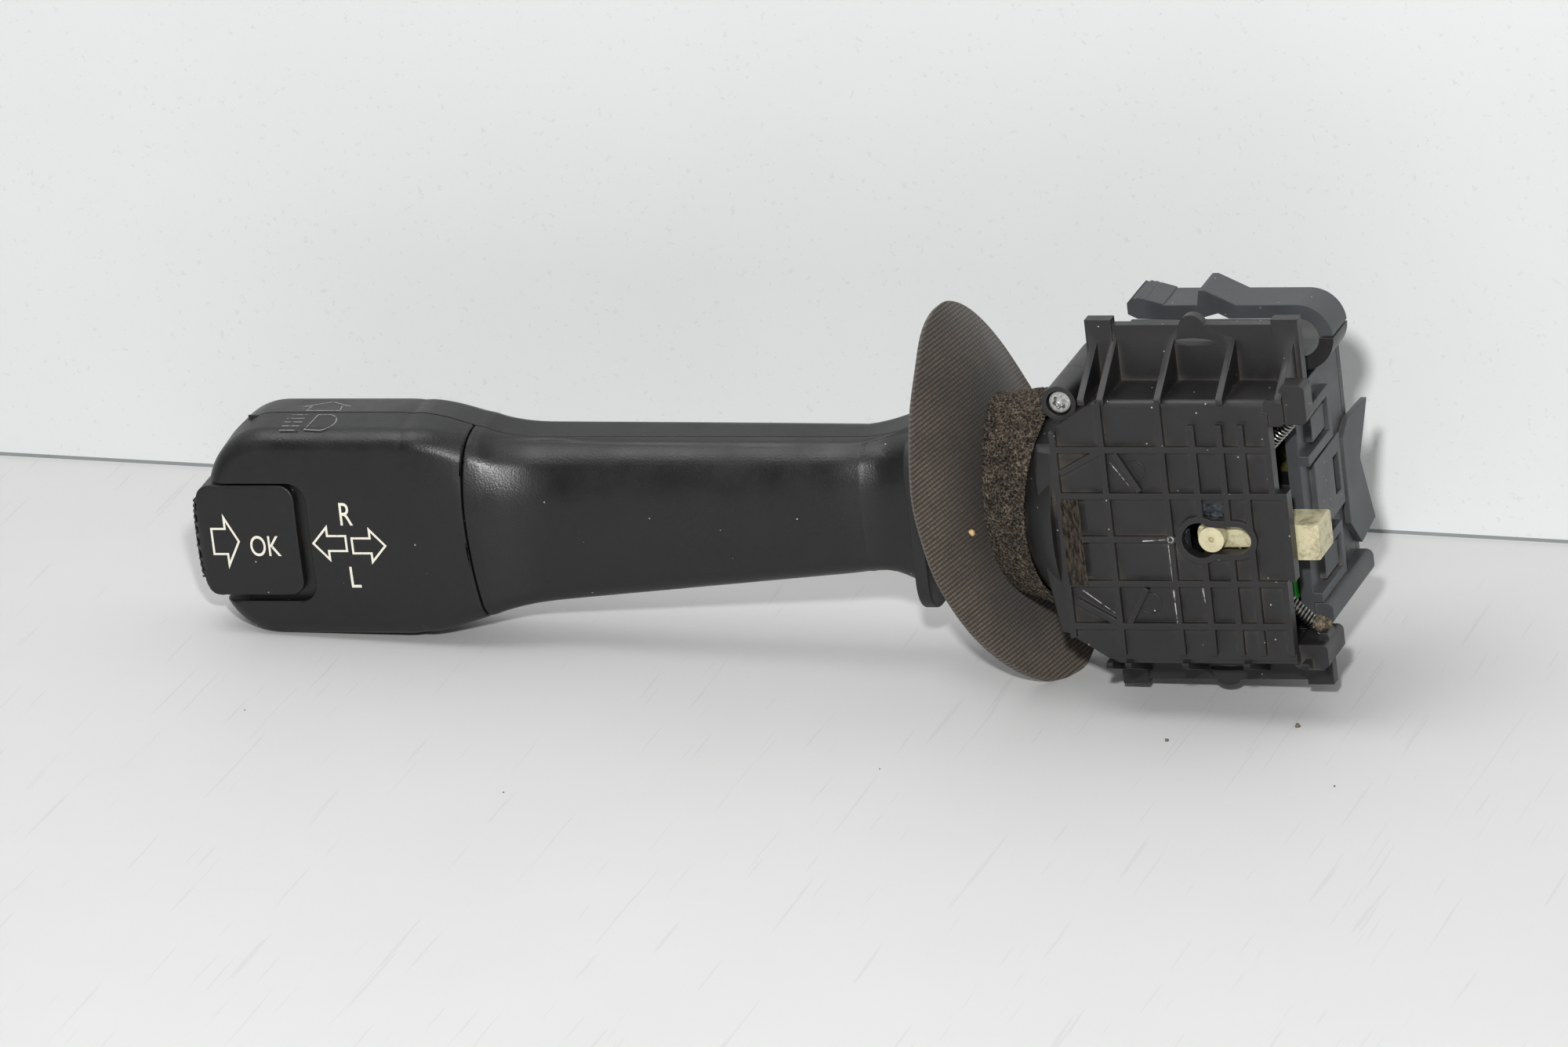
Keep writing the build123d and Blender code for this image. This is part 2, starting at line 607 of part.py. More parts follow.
def make_detent_plunger():
    base_x = PLUNGER_TIP_X - PLUNGER_LENGTH
    shaft = prism_x(Circle(PLUNGER_RADIUS), (base_x, PLUNGER_TIP_X - PLUNGER_RADIUS))
    return shaft + Pos(PLUNGER_TIP_X - PLUNGER_RADIUS, 0, 0) * Sphere(PLUNGER_RADIUS)


def make_detent_spring():
    base_x = PLUNGER_TIP_X - PLUNGER_LENGTH
    seat_x = base_x - 2 * PLUNGER_TRAVEL
    return prism_x(Circle(PLUNGER_RADIUS * 0.8), (seat_x, base_x))


def make_detent_cam():
    """Block on the end plate with the three-notch track of the turn detent."""
    track = PLUNGER_TIP_X + FIT + 0.15
    half_z = PLUNGER_RADIUS + track * math.sin(math.radians(TURN_ANGLE)) + 1.2
    cam = block((track - 2, track + 3), (-DETENT_ARM_HALF, DETENT_ARM_HALF), (-half_z, half_z))
    cam += block((track, END_PLATE_X), (-DETENT_ARM_HALF, DETENT_ARM_HALF), (-3.2, 3.2))
    cam -= disc_y(0, 0, track, (-30, 30))
    for angle in (-TURN_ANGLE, 0, TURN_ANGLE):
        notch_r = track - PLUNGER_RADIUS + DETENT_VALLEY
        notch_x = notch_r * math.cos(math.radians(angle))
        notch_z = notch_r * math.sin(math.radians(angle))
        cam -= disc_y(notch_x, notch_z, PLUNGER_RADIUS, (-30, 30))
    return cam


# ---- Contacts -------------------------------------------------------------------------


def make_contact_slider():
    z_range = (DRIVE_PIN_Z - SLIDER_HALF_Z, DRIVE_PIN_Z + SLIDER_HALF_Z)
    plate = block(SLIDER_X, SLIDER_Y, z_range)
    swing = abs(DRIVE_PIN_Z) * math.sin(math.radians(TURN_ANGLE)) + DRIVE_PIN_RADIUS + 0.3
    half_z = DRIVE_PIN_RADIUS + SLIDER_PLAY
    slot_z = (DRIVE_PIN_Z - half_z, DRIVE_PIN_Z + half_z)
    slot = block((DRIVE_PIN_X - swing, DRIVE_PIN_X + swing), (-30, 30), slot_z)
    stem = block((SLIDER_STEM_X, SLIDER_X[1]), (SLIDER_Y[0], SLIDER_STEM_BACK_Y), z_range)
    return plate - slot + stem


def make_wiper_contacts():
    """Two spring wipers between the slider's stem and the contact board."""
    wipers = []
    for offset in (-2.0, 2.0):
        z = DRIVE_PIN_Z + offset
        y_range = (SLIDER_STEM_BACK_Y, SLIDER_STEM_BACK_Y + WIPER_THICK)
        wipers.append(block((SLIDER_STEM_X + 0.4, SLIDER_X[1] - 0.4), y_range, (z - 0.8, z + 0.8)))
    return Compound(children=wipers)


def make_contact_board():
    """Board that the wipers run on; it also carries the terminals."""
    wide = (CONTACT_BOARD_Y, CONTACT_BOARD_Y + BOARD_THICK)
    half_z = HOUSING_HALF_Z - HOUSING_WALL - 1.2
    board = block(CONTACT_BOARD_X, wide, (-half_z, half_z))
    tail_z = (-half_z, SOCKET_Z[1])
    return board + block((SOCKET_X[0], CONTACT_BOARD_X[0] + 1), wide, tail_z)


def make_terminals():
    """Two rows of square pins from the contact board into the socket."""
    pins = []
    pitch_x = (SOCKET_X[1] - SOCKET_X[0]) / (TERMINAL_COUNT + 1)
    pitch_z = (SOCKET_Z[1] - SOCKET_Z[0]) / (TERMINAL_ROWS + 1)
    start_y = CONTACT_BOARD_Y + BOARD_THICK
    half = TERMINAL_SIZE / 2
    for column in range(TERMINAL_COUNT):
        for row in range(TERMINAL_ROWS):
            x = SOCKET_X[0] + pitch_x * (column + 1)
            z = SOCKET_Z[0] + pitch_z * (row + 1)
            y_range = (start_y, start_y + TERMINAL_LENGTH)
            pins.append(block((x - half, x + half), y_range, (z - half, z + half)))
    return Compound(children=pins)


# ---- Housing base ---------------------------------------------------------------------


def nose_shell():
    """Round nose that the foam ring wipes over, open for the lever's neck."""
    nose = Sphere(NOSE_RADIUS) - Sphere(NOSE_RADIUS - NOSE_WALL)
    reach = HOUSING_LEFT_X - SEAM_GAP
    nose &= block((-NOSE_RADIUS - 1, reach), (-NOSE_RADIUS, NOSE_RADIUS), (-20, 20))
    return nose - prism_x(Ellipse(NOSE_OPENING_Y, NOSE_OPENING_Z), (-NOSE_RADIUS - 1, reach - 4))


def make_housing_base():
    front = COVER_BACK_Y + SEAM_GAP
    wall = HOUSING_WALL
    outer_x = (HOUSING_LEFT_X, HOUSING_RIGHT_X)
    outer = block(outer_x, (front, SEAT_Y), (-HOUSING_HALF_Z, HOUSING_HALF_Z))
    outer = chamfer(outer.edges().filter_by(Axis.Y).group_by(Axis.X)[0], CORNER_CUT_Z * 0.6)
    inner_z = HOUSING_HALF_Z - wall
    inner_x = (HOUSING_LEFT_X + wall, HOUSING_RIGHT_X + 1)
    cavity = block(inner_x, (front - 1, SEAT_Y - wall), (-inner_z, inner_z))
    base = outer - cavity
    base += nose_shell() + nose_web()
    cut_z = (-NOSE_CUT_HALF_Z, NOSE_CUT_HALF_Z)
    base -= block((HOUSING_LEFT_X - 1, HOUSING_LEFT_X + wall + 1), (-30, NOSE_OPENING_Y + 2), cut_z)
    base += rear_bearing() + socket_walls() + latch_root()
    base += disc_y(SCREW_X, SCREW_Z, SCREW_BOSS_RADIUS, (front, front + SCREW_LENGTH))
    base -= disc_y(SCREW_X, SCREW_Z, SCREW_SHANK_RADIUS, (-30, SCREW_SEAT_Y + SCREW_LENGTH + 1))
    return base - block(SOCKET_X, (SEAT_Y - SOCKET_DEPTH, SEAT_Y + 1), SOCKET_Z)


def nose_web():
    """Wall that joins the nose to the box behind the cover's back edge."""
    half_z = HOUSING_HALF_Z - 2 * HOUSING_WALL
    y_range = (COVER_BACK_Y + SEAM_GAP, NOSE_RADIUS - 3.5)
    ring = block((HOUSING_LEFT_X - 0.8, HOUSING_LEFT_X + HOUSING_WALL), y_range, (-half_z, half_z))
    return ring - block((-30, 0), (-30, NOSE_OPENING_Y + 2.2), (-NOSE_CUT_HALF_Z, NOSE_CUT_HALF_Z))


def rear_bearing():
    """Post from the rear wall with the bore of the swivel's rear trunnion."""
    start = YOKE_HALF_Y + RUNNING_GAP
    post = disc_y(0, 0, BEARING_RADIUS, (start, SEAT_Y - HOUSING_WALL + 0.1))
    bore_end = start + TRUNNION_LENGTH
    return post - disc_y(0, 0, TRUNNION_RADIUS + PIN_CLEARANCE, (start - 1, bore_end))


def socket_walls():
    """Box behind the connector socket, closed towards the mechanism."""
    wall = HOUSING_WALL
    x_range = (SOCKET_X[0] - wall, SOCKET_X[1] + wall)
    z_range = (SOCKET_Z[0] - wall, SOCKET_Z[1] + wall)
    shroud = block(x_range, (SEAT_Y - SOCKET_DEPTH - wall, SEAT_Y - 0.5), z_range)
    pins = []
    clear = FIT
    for pin in make_terminals().solids():
        box = pin.bounding_box()
        pins.append(
            block(
                (box.min.X - clear, box.max.X + clear),
                (box.min.Y, box.max.Y),
                (box.min.Z - clear, box.max.Z + clear),
            )
        )
    return shroud - pins


def latch_root():
    """Lower half of the latch arm's U-bend, moulded on the base's top wall."""
    bend = bend_ring() & block((BEND_X, BEND_X + 20), (-30, 30), (BEND_Z - 20, BEND_Z - RUNNING_GAP / 2))
    foot_z = (BEND_Z - BEND_OUTER, BEND_Z - BEND_INNER)
    return bend + block((BEND_X - 6, BEND_X), ARM_Y, foot_z)


def bend_ring():
    ring = disc_y(BEND_X, BEND_Z, BEND_OUTER, ARM_Y)
    return ring - disc_y(BEND_X, BEND_Z, BEND_INNER, ARM_Y)


def make_latch_arm():
    """Cantilever latch: grip at the free end, hook tooth, upper half of the U-bend."""
    low = ARM_TOP - ARM_THICK
    grip_x = ARM_TIP_X + GRIP_LENGTH
    profile = polygon(
        (ARM_TIP_X, low + 0.8),
        (ARM_TIP_X, ARM_TOP + 0.3),
        (ARM_TIP_X + 1.0, ARM_TOP + GRIP_RISE),
        (ARM_TIP_X + 2.4, ARM_TOP + GRIP_RISE),
        (grip_x, ARM_TOP + 0.2),
        (grip_x, ARM_TOP),
        (TOOTH_X[0], ARM_TOP),
        (TOOTH_X[0] + 0.5, ARM_TOP + TOOTH_HEIGHT),
        (TOOTH_X[0] + 1.6, ARM_TOP + TOOTH_HEIGHT),
        (TOOTH_X[1], ARM_TOP),
        (BEND_X, ARM_TOP),
        (BEND_X, low),
        (TOOTH_X[1] - 1.4, low),
        (TOOTH_X[0] + 3.4, low + 0.9),
        (TOOTH_X[0] - 0.6, low - 0.2),
        (ARM_TIP_X + 1.6, low),
    )
    arm = prism_y(profile, ARM_Y)
    arm += bend_ring() & block((BEND_X, BEND_X + 20), (-30, 30), (BEND_Z + RUNNING_GAP / 2, BEND_Z + 20))
    pitch = (GRIP_LENGTH - 1.2) / GRIP_GROOVES
    for index in range(GRIP_GROOVES):
        x = ARM_TIP_X + 1.0 + pitch * (index + 0.5)
        arm -= disc_y(x, ARM_TOP + GRIP_RISE + 0.25 - 0.21 * pitch * max(index - 1, 0), 0.42, (-30, 30))
    return arm


# ---- Cover plate ----------------------------------------------------------------------


def cover_outline(inset=0.0):
    """Front view of the cover: stepped at the right, its two left corners cut off."""
    left = HOUSING_LEFT_X + inset
    top = HOUSING_HALF_Z - inset
    cut_x = CORNER_CUT_X - inset * 0.4
    cut_z = CORNER_CUT_Z - inset * 0.4
    return polygon(
        (left, -top + cut_z),
        (left, top - cut_z),
        (left + cut_x, top),
        (PLATE_UPPER_X, top),
        (PLATE_UPPER_X, PLATE_STEP_Z[1]),
        (PLATE_RIGHT_X, PLATE_STEP_Z[1]),
        (PLATE_RIGHT_X, PLATE_STEP_Z[0]),
        (PLATE_LOWER_X, PLATE_STEP_Z[0]),
        (PLATE_LOWER_X, -top),
        (left + cut_x, -top),
    )


def rib_between(start, end, thick=RIB_THICK):
    """Straight rib on the plate between two points in X and Z."""
    dx = end[0] - start[0]
    dz = end[1] - start[1]
    face = Pos((start[0] + end[0]) / 2, (start[1] + end[1]) / 2)
    face = face * Rot(0, 0, math.degrees(math.atan2(dz, dx))) * Rectangle(math.hypot(dx, dz), thick)
    return prism_y(face, (COVER_FRONT_Y, COVER_FRONT_Y + RIB_HEIGHT + 0.3))


def edge_rib_x(z):
    """Middle of the rib along the plate's stepped right edge, at height z."""
    if z > PLATE_STEP_Z[1]:
        return PLATE_UPPER_X - RIB_THICK / 2
    if z < PLATE_STEP_Z[0]:
        return PLATE_LOWER_X - RIB_THICK / 2
    return PLATE_RIGHT_X - RIB_THICK / 2


def plate_ribs():
    left = HOUSING_LEFT_X
    top = RIB_ROWS[0]
    bottom = -HOUSING_HALF_Z + 2.0
    ribs = []
    for index, z in enumerate(RIB_ROWS):
        end = SLOT_X[0] - SLOT_BIG_RADIUS if index == SHORT_ROW else edge_rib_x(z)
        ribs.append(rib_between((left, z), (end, z)))
    for index, x in enumerate(RIB_COLUMNS):
        high = HOUSING_HALF_Z if index < 2 else top
        if SLOT_X[0] - SLOT_BIG_RADIUS < x < SLOT_X[1] + SLOT_HALF_Z:
            ribs.append(rib_between((x, high), (x, SLOT_HALF_Z + PEG_Z + SLOT_RIM)))
            ribs.append(rib_between((x, bottom), (x, PEG_Z - SLOT_HALF_Z - SLOT_RIM)))
        else:
            ribs.append(rib_between((x, high), (x, bottom)))
    for x in STUB_COLUMNS:
        ribs.append(rib_between((x, top), (x, top + STUB_LENGTH)))
    edge_z = (bottom, PLATE_STEP_Z[0], PLATE_STEP_Z[1], -bottom)
    for low, high in zip(edge_z, edge_z[1:]):
        x = edge_rib_x((low + high) / 2)
        ribs.append(rib_between((x, low), (x, high)))
    edge = left + RIB_THICK / 2
    ribs.append(rib_between((edge, HOUSING_HALF_Z - CORNER_CUT_Z), (edge, CORNER_CUT_Z - HOUSING_HALF_Z)))
    first, second = RIB_COLUMNS[0], RIB_COLUMNS[1]
    ribs.append(rib_between((first + 1.9, RIB_ROWS[0] - 0.6), (second - 4.4, RIB_ROWS[1] + 0.8)))
    ribs.append(rib_between((left + 1.2, RIB_ROWS[0] - 4.0), (first - 0.6, RIB_ROWS[0] - 0.4)))
    ribs.append(rib_between((left + 1.8, RIB_ROWS[3] - 3.0), (first - 0.4, RIB_ROWS[4] + 0.5)))
    ribs.append(rib_between((second - 5.0, RIB_ROWS[3] - 0.8), (first + 1.6, RIB_ROWS[4] + 0.5)))
    return ribs


def slot_face(margin=0.0):
    """Peg slot: a straight run with a larger round end towards the stalk."""
    length = SLOT_X[1] - SLOT_X[0]
    mid = (SLOT_X[0] + SLOT_X[1]) / 2
    height = 2 * (SLOT_HALF_Z + margin)
    face = Pos(mid, PEG_Z) * SlotCenterToCenter(length, height)
    return face + Pos(SLOT_X[0], PEG_Z) * Circle(SLOT_BIG_RADIUS + margin)


def stamp_window():
    """Shallow recess down the left margin of the plate."""
    x_range = (HOUSING_LEFT_X + RIB_THICK + 0.3, HOUSING_LEFT_X + RIB_THICK + 3.4)
    z_range = (RIB_ROWS[3] + RIB_THICK, RIB_ROWS[1] - RIB_THICK)
    floor = COVER_FRONT_Y + RIB_HEIGHT
    return block(x_range, (floor - 0.1, floor + STAMP_RECESS), z_range)


def rail(side):
    """Guide rail above (side 1) or below (side -1) the cover, with its gussets."""
    y_range = (RAIL_Y - RAIL_THICK / 2, RAIL_Y + RAIL_THICK / 2)
    root = HOUSING_HALF_Z - 0.5
    wall = block(RAIL_X, y_range, (root, RAIL_TOP))
    for x in (RAIL_X[0], RAIL_X[1] - RAIL_END_BLOCK):
        span = (x, x + RAIL_END_BLOCK)
        wall += block(span, (y_range[0] - 0.5, y_range[1]), (root, RAIL_TOP + RAIL_END_RISE))
    middle = (RAIL_WINDOW_X[0] + RAIL_WINDOW_X[1]) / 2
    bump = disc_y(middle, RAIL_TOP - 0.6, RAIL_BUMP_RADIUS, y_range)
    wall += bump & block((RAIL_X[0], RAIL_X[1]), (-30, 30), (RAIL_TOP - 1, RAIL_TOP + 5))
    window = Pos(middle, RAIL_WINDOW_Z) * Ellipse(
        (RAIL_WINDOW_X[1] - RAIL_WINDOW_X[0]) / 2, RAIL_WINDOW_HALF
    )
    wall -= prism_y(window, (-30, 30))
    for x in GUSSET_XS:
        web = polygon(
            (COVER_FRONT_Y + 0.4, root),
            (COVER_FRONT_Y + 0.4, HOUSING_HALF_Z + 0.6),
            (y_range[0] + 0.5, RAIL_TOP - GUSSET_DROP),
            (y_range[0] + 0.5, root),
        )
        wall += prism_x(web, (x - GUSSET_THICK / 2, x + GUSSET_THICK / 2))
    if side < 0:
        wall = mirror(wall, about=Plane.XY)
    return wall


def spring_post(side):
    """Peg on the cover's right end that an end of a finger spring hooks over."""
    front_y = COVER_FRONT_Y + RIB_HEIGHT + LOBE_DEPTH - 0.5
    return disc_y(SPRING_POST_X, side * SPRING_POST_Z, POST_RADIUS, (front_y, SPRING_Y + SPRING_RADIUS + 0.6))


def right_lobes():
    """Rounded two-lobe block at the upper right, and the foot at the lower right."""
    front_y = COVER_FRONT_Y + RIB_HEIGHT
    upper = rounded_box_face(LOBE_X, LOBE_Z, 1.0)
    lobe = prism_y(upper, (front_y + 0.4, front_y + LOBE_DEPTH))
    step_face = rounded_box_face((PLATE_UPPER_X - 0.8, LOBE_X[0] + 0.6), (LOBE_Z[0], LOBE_Z[1] - 2.2), 0.8)
    lobe += prism_y(step_face, (front_y - 0.4, front_y + LOBE_DEPTH))
    foot_z = (-LOBE_Z[1] + 0.6, -LOBE_Z[0] - 1.4)
    foot_face = rounded_box_face((LOBE_X[0] - 2.6, LOBE_X[1] - 1.0), foot_z, 1.0)
    foot = prism_y(foot_face, (front_y + 2.0, COVER_BACK_Y))
    return lobe + foot


def front_bearing():
    """Boss on the plate's back with the bore of the swivel's front trunnion."""
    end = -YOKE_HALF_Y - RUNNING_GAP
    boss = disc_y(0, 0, BEARING_RADIUS, (PLATE_BACK_Y - 0.2, end))
    bore_start = -YOKE_HALF_Y - TRUNNION_LENGTH - RUNNING_GAP
    return boss - disc_y(0, 0, TRUNNION_RADIUS + PIN_CLEARANCE, (bore_start, end + 1))


def make_cover_plate():
    skirt_y = (COVER_FRONT_Y + RIB_HEIGHT, COVER_BACK_Y)
    tray = prism_y(cover_outline(), skirt_y)
    long_edges = tray.edges().group_by(Axis.Y)[0].filter_by(Axis.X).sort_by(Axis.Z)
    tray = fillet([long_edges[0], long_edges[-1]], 1.2)
    tray -= prism_y(cover_outline(HOUSING_WALL), (PLATE_BACK_Y, COVER_BACK_Y + 1))
    cut_z = (-NOSE_CUT_HALF_Z, NOSE_CUT_HALF_Z)
    tray -= block((HOUSING_LEFT_X - 1, HOUSING_LEFT_X + HOUSING_WALL + 1), (PLATE_BACK_Y + 0.6, 0), cut_z)
    cover = tray + plate_ribs() + rail(1) + rail(-1) + right_lobes()
    cover += front_bearing()
    cover += prism_y(slot_face(SLOT_RIM), (COVER_FRONT_Y, PLATE_BACK_Y))
    cover -= prism_y(slot_face(), (-30, PLATE_BACK_Y + 2))
    cover -= stamp_window()
    cover += screw_boss()
    for side in (-1, 1):
        cover += spring_post(side)
    return cover


def screw_boss():
    """Tube for the cover screw beside the upper left corner."""
    y_range = (SCREW_SEAT_Y - SCREW_HEAD_HEIGHT - 1.0, COVER_BACK_Y)
    boss = disc_y(SCREW_X, SCREW_Z, SCREW_BOSS_RADIUS, y_range)
    web_x = (SCREW_X, HOUSING_LEFT_X + CORNER_CUT_X)
    boss += block(web_x, (SCREW_SEAT_Y, COVER_BACK_Y), (SCREW_Z - 2.4, SCREW_Z))
    boss -= disc_y(SCREW_X, SCREW_Z, SCREW_HEAD_RADIUS + FIT, (-30, SCREW_SEAT_Y))
    return boss - disc_y(SCREW_X, SCREW_Z, SCREW_SHANK_RADIUS + FIT, (-30, 0))


def make_cover_screw():
    head = disc_y(SCREW_X, SCREW_Z, SCREW_HEAD_RADIUS, (SCREW_SEAT_Y - SCREW_HEAD_HEIGHT, SCREW_SEAT_Y))
    head = fillet(head.edges().group_by(Axis.Y)[0], 0.5)
    recess = side_plane(SCREW_SEAT_Y - SCREW_HEAD_HEIGHT + 0.8)
    drive = recess * Pos(SCREW_X, SCREW_Z) * RegularPolygon(1.0, 6)
    head -= extrude(drive, amount=3, dir=(0, -1, 0))
    return head + disc_y(SCREW_X, SCREW_Z, SCREW_SHANK_RADIUS, (SCREW_SEAT_Y, SCREW_SEAT_Y + SCREW_LENGTH))


# ---- End plate and retaining leaf -----------------------------------------------------


def end_frame(side):
    """Raised three-sided frame on the end plate, with the key block inside it."""
    x_range = (HOUSING_RIGHT_X - 0.2, HOUSING_RIGHT_X + END_RIM_HEIGHT)
    low, high = END_FRAME_Z
    t = END_RIM_THICK
    frame = block(x_range, END_FRAME_Y, (high - t, high))
    frame += block(x_range, END_FRAME_Y, (low, low + t))
    frame += block(x_range, (END_FRAME_Y[1] - t, END_FRAME_Y[1]), (low, high))
    key_y = (END_FRAME_Y[0] + 4.6, END_FRAME_Y[1] - t - 0.6)
    frame += block((x_range[0], x_range[1] - 0.5), key_y, (low + t + 0.7, high - t - 0.7))
    if side < 0:
        frame = mirror(frame, about=Plane.XY)
    return frame


def end_rail():
    """Rounded rail along the foot of the end plate."""
    y_range = (COVER_BACK_Y + SEAM_GAP, END_RAIL_BACK_Y)
    x_range = (HOUSING_RIGHT_X - 0.2, HOUSING_RIGHT_X + END_RAIL_OUT)
    low, high = END_RAIL_DROP
    bar = block(x_range, y_range, (low - HOUSING_HALF_Z, high - HOUSING_HALF_Z))
    return fillet(bar.edges().filter_by(Axis.Y).group_by(Axis.X)[-1], 1.2)


def make_rear_block():
    """End plate that closes the housing towards the column, with its raised frames."""
    y_range = (END_PLATE_FRONT_Y, SEAT_Y - HOUSING_WALL - FIT)
    x_range = (END_PLATE_X, HOUSING_RIGHT_X)
    plate = block(x_range, y_range, (-END_PLATE_HALF_Z, END_PLATE_HALF_Z))
    plate += end_frame(1) + end_frame(-1) + end_rail()
    panel_z = END_FRAME_Z[0] - 1.2
    panel_x = (HOUSING_RIGHT_X - 0.2, HOUSING_RIGHT_X + END_RIM_HEIGHT * 0.6)
    plate += block(panel_x, (END_PLATE_FRONT_Y + 4.5, 14.0), (-panel_z, panel_z))
    window = (-END_WINDOW_HALF_Z, END_WINDOW_HALF_Z)
    return plate - block((0, 50), END_WINDOW_Y, window)


def make_retaining_leaf():
    """Hourglass leaf that stands out behind the end plate."""
    x_range = (HOUSING_RIGHT_X + FIT, HOUSING_RIGHT_X + FIT + LEAF_THICK)
    outline = polygon(
        (LEAF_ROOT_Y, LEAF_TOP[1] - 1.5),
        (LEAF_ROOT_Y + 4.0, LEAF_TOP[1] + 0.6),
        LEAF_TOP,
        LEAF_WAIST,
        LEAF_BOTTOM,
        (LEAF_ROOT_Y + 5.2, LEAF_BOTTOM[1] - 1.2),
        (LEAF_ROOT_Y, LEAF_BOTTOM[1] + 4.0),
    )
    return prism_x(outline, x_range)


# ---- Cancel finger --------------------------------------------------------------------


def make_finger_pin():
    """Peg that slides in the plate's slot, with the crossbar that the springs pull."""
    head_y = (COVER_FRONT_Y + 0.3, FINGER_FRONT_Y - FIT)
    peg = disc_y(PEG_X, PEG_Z, PEG_RADIUS, head_y)
    bar_y = (FINGER_BACK_Y + FIT, FINGER_BACK_Y + FIT + CROSSBAR_THICK)
    peg += disc_y(PEG_X, PEG_Z, PEG_STUB_RADIUS, (head_y[1] - 0.1, bar_y[1]))
    bar_x = (PEG_X - PEG_STUB_RADIUS, CROSSBAR_END_X)
    peg += block(bar_x, bar_y, (-CROSSBAR_HALF_Z, CROSSBAR_HALF_Z))
    return peg - disc_y(PEG_X, PEG_Z, 0.45, (-30, COVER_FRONT_Y + 0.9))


def make_cancel_finger():
    arm_z = (PEG_Z - FINGER_ARM_HALF, PEG_Z + FINGER_ARM_HALF)
    arm = rounded_box_face((PEG_X - 3.0, FINGER_BLOCK_X[0] + 2), arm_z, 2.0)
    finger = prism_y(arm, (FINGER_FRONT_Y, FINGER_BACK_Y))
    head = block(FINGER_BLOCK_X, (FINGER_FRONT_Y, FINGER_BLOCK_BACK_Y), FINGER_BLOCK_Z)
    head = fillet(head.edges().filter_by(Axis.Y), 0.5)
    finger += head
    return finger - disc_y(PEG_X, PEG_Z, PEG_STUB_RADIUS + PIN_CLEARANCE, (-30, 30))


def make_finger_spring(side):
    """Outer form of one tension spring, from the crossbar's ear to the post."""
    corner = Vector(CROSSBAR_END_X, SPRING_Y, side * CROSSBAR_HALF_Z)
    post = Vector(SPRING_POST_X, SPRING_Y, side * SPRING_POST_Z)
    direction = (post - corner).normalized()
    start = corner + direction * RUNNING_GAP
    stop = post - direction * (POST_RADIUS + FIT)
    return rod((start.X, start.Y, start.Z), (stop.X, stop.Y, stop.Z), SPRING_RADIUS)


PIECES = {
    "rear_shell": make_rear_shell,
    "head_front_cover": make_head_front_cover,
    "shaft_front_cover": make_shaft_front_cover,
    "tip_button": make_tip_button,
    "button_return_spring": make_button_spring,
    "button_board": make_button_board,
    "button_switch": make_button_switch,
    "lever_core": make_lever_core,
    "collar_flange": make_collar_flange,
    "seal_disc": make_seal_disc,
    "seal_foam_ring": make_seal_foam_ring,
    "swivel_yoke": make_swivel_yoke,
    "beam_pivot_pin": make_beam_pivot_pin,
    "turn_detent_plunger": make_detent_plunger,
    "turn_detent_spring": make_detent_spring,
    "turn_detent_cam": make_detent_cam,
    "contact_slider": make_contact_slider,
    "wiper_contacts": make_wiper_contacts,
    "contact_board": make_contact_board,
    "terminal_pins": make_terminals,
    "housing_base": make_housing_base,
    "cover_plate": make_cover_plate,
    "cover_screw": make_cover_screw,
    "end_plate": make_rear_block,
    "retaining_leaf": make_retaining_leaf,
    "latch_arm": make_latch_arm,
    "finger_peg": make_finger_pin,
    "cancel_finger": make_cancel_finger,
    "finger_spring_upper": lambda: make_finger_spring(1),
    "finger_spring_lower": lambda: make_finger_spring(-1),
}

if __name__ == "__main__":
    os.makedirs("parts", exist_ok=True)
    for name, make in PIECES.items():
        export_step(Pos(0, AXIS_Y, 0) * make(), f"parts/{name}.step")
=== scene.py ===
import json
import math

import bmesh
import bpy
from bpy.props import FloatProperty, FloatVectorProperty, IntProperty, PointerProperty
from mathutils import Matrix, Vector, noise

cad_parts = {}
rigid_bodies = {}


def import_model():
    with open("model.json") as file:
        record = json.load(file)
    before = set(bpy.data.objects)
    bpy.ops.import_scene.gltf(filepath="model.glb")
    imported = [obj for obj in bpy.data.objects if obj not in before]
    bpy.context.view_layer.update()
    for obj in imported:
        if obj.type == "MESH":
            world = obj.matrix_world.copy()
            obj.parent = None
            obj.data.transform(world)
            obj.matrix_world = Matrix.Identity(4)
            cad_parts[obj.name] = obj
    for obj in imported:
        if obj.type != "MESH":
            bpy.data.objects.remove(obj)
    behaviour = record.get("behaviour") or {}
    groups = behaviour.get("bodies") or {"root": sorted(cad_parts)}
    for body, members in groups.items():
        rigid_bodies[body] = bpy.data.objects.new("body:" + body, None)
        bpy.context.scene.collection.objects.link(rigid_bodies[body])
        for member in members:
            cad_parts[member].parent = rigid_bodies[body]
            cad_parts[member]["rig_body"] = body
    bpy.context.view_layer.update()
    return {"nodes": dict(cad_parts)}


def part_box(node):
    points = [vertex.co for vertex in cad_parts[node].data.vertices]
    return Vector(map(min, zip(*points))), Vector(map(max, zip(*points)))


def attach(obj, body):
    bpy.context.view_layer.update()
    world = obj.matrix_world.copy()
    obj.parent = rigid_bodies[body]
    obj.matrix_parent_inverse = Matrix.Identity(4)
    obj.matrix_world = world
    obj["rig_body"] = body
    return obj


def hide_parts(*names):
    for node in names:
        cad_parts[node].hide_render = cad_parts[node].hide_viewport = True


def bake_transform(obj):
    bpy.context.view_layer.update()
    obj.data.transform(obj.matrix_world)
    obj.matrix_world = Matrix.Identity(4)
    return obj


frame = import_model()

bl_info = {
    "name": "Combination Stalk Switch",
    "version": (1, 0, 0),
    "blender": (4, 5, 0),
    "location": "3D View > Sidebar > Stalk Switch",
    "description": "Builds the visible pieces, finishes and stage of a steering column stalk switch",
    "category": "Object",
}

MM = 0.001
AXIS_Y = -22.0  # stalk axis, measured from the rear seating face

